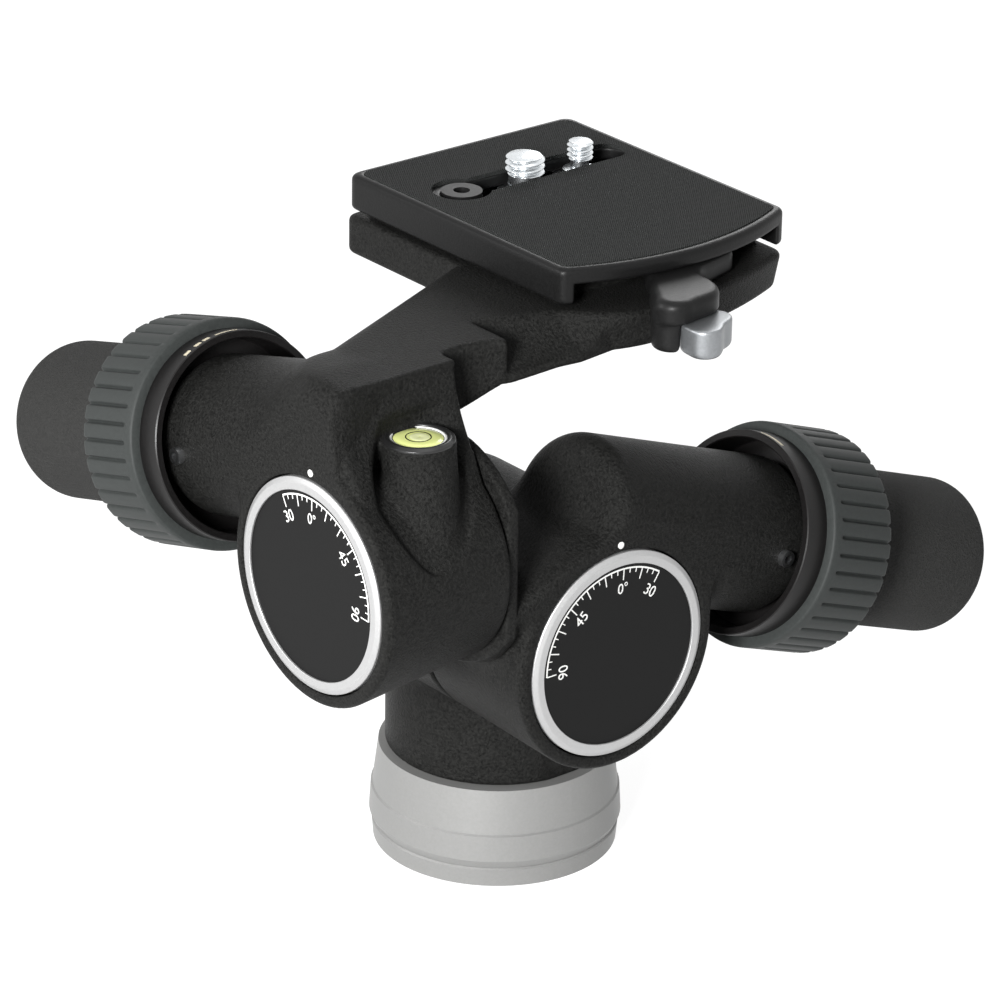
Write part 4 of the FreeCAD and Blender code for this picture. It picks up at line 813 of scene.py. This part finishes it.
# ---------------------------------------------------------------- camera, floor, light
# found by fitting the photo's ellipses and corners
AZ = math.radians(50.70)
EL = math.radians(23.96)
ROLL = math.radians(0.92)
CAMERA_AT = (0.84353, -0.69169, 0.57350)
FOCAL_PX = 4974.4
IMAGE_PX = 1000.0
SENSOR_MM = 36.0
forward = Vector((-math.sin(AZ) * math.cos(EL), math.cos(AZ) * math.cos(EL), -math.sin(EL)))
right = Vector((math.cos(AZ), math.sin(AZ), 0))
up = right.cross(forward)
right2 = right * math.cos(ROLL) + up * math.sin(ROLL)
up2 = up * math.cos(ROLL) - right * math.sin(ROLL)
camera_data = bpy.data.cameras.new("camera")
camera = bpy.data.objects.new("camera", camera_data)
bpy.context.scene.collection.objects.link(camera)
turn = Matrix((right2, up2, -forward)).transposed().to_4x4()
camera.matrix_world = Matrix.Translation(CAMERA_AT) @ turn
camera_data.sensor_width = SENSOR_MM
camera_data.sensor_fit = "HORIZONTAL"
camera_data.lens = FOCAL_PX * SENSOR_MM / IMAGE_PX
camera_data.shift_x = 0.0044
camera_data.shift_y = 0.0001
bpy.context.scene.camera = camera


def seen(tree):
    """One for the rays that should meet the pale background: camera, glossy and transmission."""
    path = tree.nodes.new("ShaderNodeLightPath")
    mirrored = tree.nodes.new("ShaderNodeMath")
    mirrored.operation = "MAXIMUM"
    tree.links.new(path.outputs["Is Glossy Ray"], mirrored.inputs[0])
    tree.links.new(path.outputs["Is Transmission Ray"], mirrored.inputs[1])
    either = tree.nodes.new("ShaderNodeMath")
    either.operation = "MAXIMUM"
    tree.links.new(path.outputs["Is Camera Ray"], either.inputs[0])
    tree.links.new(mirrored.outputs[0], either.inputs[1])
    return either.outputs[0]


def backdrop_material():
    """White to the rays in seen(), a plain grey floor to the rest, and dimmer where a shadow falls."""
    m = bpy.data.materials.new("backdrop")
    m.use_nodes = True
    tree = m.node_tree
    tree.nodes.clear()
    out = tree.nodes.new("ShaderNodeOutputMaterial")
    diffuse = tree.nodes.new("ShaderNodeBsdfDiffuse")
    diffuse.inputs["Color"].default_value = (0.55, 0.55, 0.55, 1)
    faint = tree.nodes.new("ShaderNodeBsdfDiffuse")
    faint.inputs["Color"].default_value = (0.22, 0.22, 0.22, 1)
    glow = tree.nodes.new("ShaderNodeEmission")
    glow.inputs["Color"].default_value = (1, 1, 1, 1)
    glow.inputs["Strength"].default_value = 0.95
    both = tree.nodes.new("ShaderNodeAddShader")
    tree.links.new(faint.outputs["BSDF"], both.inputs[0])
    tree.links.new(glow.outputs["Emission"], both.inputs[1])
    mix = tree.nodes.new("ShaderNodeMixShader")
    tree.links.new(seen(tree), mix.inputs["Fac"])
    tree.links.new(diffuse.outputs["BSDF"], mix.inputs[1])
    tree.links.new(both.outputs["Shader"], mix.inputs[2])
    tree.links.new(mix.outputs["Shader"], out.inputs["Surface"])
    return m


bm = bmesh.new()
bmesh.ops.create_grid(bm, x_segments=4, y_segments=4, size=3.0)
floor_mesh = bpy.data.meshes.new("floor")
bm.to_mesh(floor_mesh)
bm.free()
floor = bpy.data.objects.new("floor", floor_mesh)
bpy.context.scene.collection.objects.link(floor)
floor.location = (0, 0, -0.0002)
floor_mesh.materials.append(backdrop_material())

world_light = bpy.data.worlds.new("world")
world_light.use_nodes = True
bpy.context.scene.world = world_light
tree = world_light.node_tree
tree.nodes.clear()
out = tree.nodes.new("ShaderNodeOutputWorld")
ambient = tree.nodes.new("ShaderNodeBackground")
ambient.inputs["Color"].default_value = (0.9, 0.92, 0.95, 1)
ambient.inputs["Strength"].default_value = 0.10
white = tree.nodes.new("ShaderNodeBackground")
white.inputs["Color"].default_value = (1, 1, 1, 1)
white.inputs["Strength"].default_value = 1.0
mix = tree.nodes.new("ShaderNodeMixShader")
tree.links.new(seen(tree), mix.inputs["Fac"])
tree.links.new(ambient.outputs["Background"], mix.inputs[1])
tree.links.new(white.outputs["Background"], mix.inputs[2])
tree.links.new(mix.outputs["Shader"], out.inputs["Surface"])


def lamp(name, place, aim, size, power):
    """Square lamp that looks at a point."""
    data = bpy.data.lights.new(name, "AREA")
    data.shape = "SQUARE"
    data.size = size
    data.energy = power
    o = bpy.data.objects.new(name, data)
    bpy.context.scene.collection.objects.link(o)
    o.location = place
    o.rotation_euler = (Vector(aim) - Vector(place)).to_track_quat("-Z", "Y").to_euler()


LAMPS = (("key", (0.62, -0.95, 0.5), (0, 0, 0.08), 0.3, 28),
         ("fill", (-0.5, -1.0, 0.6), (0, 0, 0.08), 0.4, 5),
         ("rear", (-0.7, 0.9, 0.7), (0, 0, 0.08), 0.5, 4),
         ("top", (0.1, 0.1, 1.1), (0, 0, 0.1), 0.45, 1))
for name, place, aim, size, power in LAMPS:
    lamp(name, place, aim, size, power)

bpy.context.scene.view_settings.view_transform = "Standard"
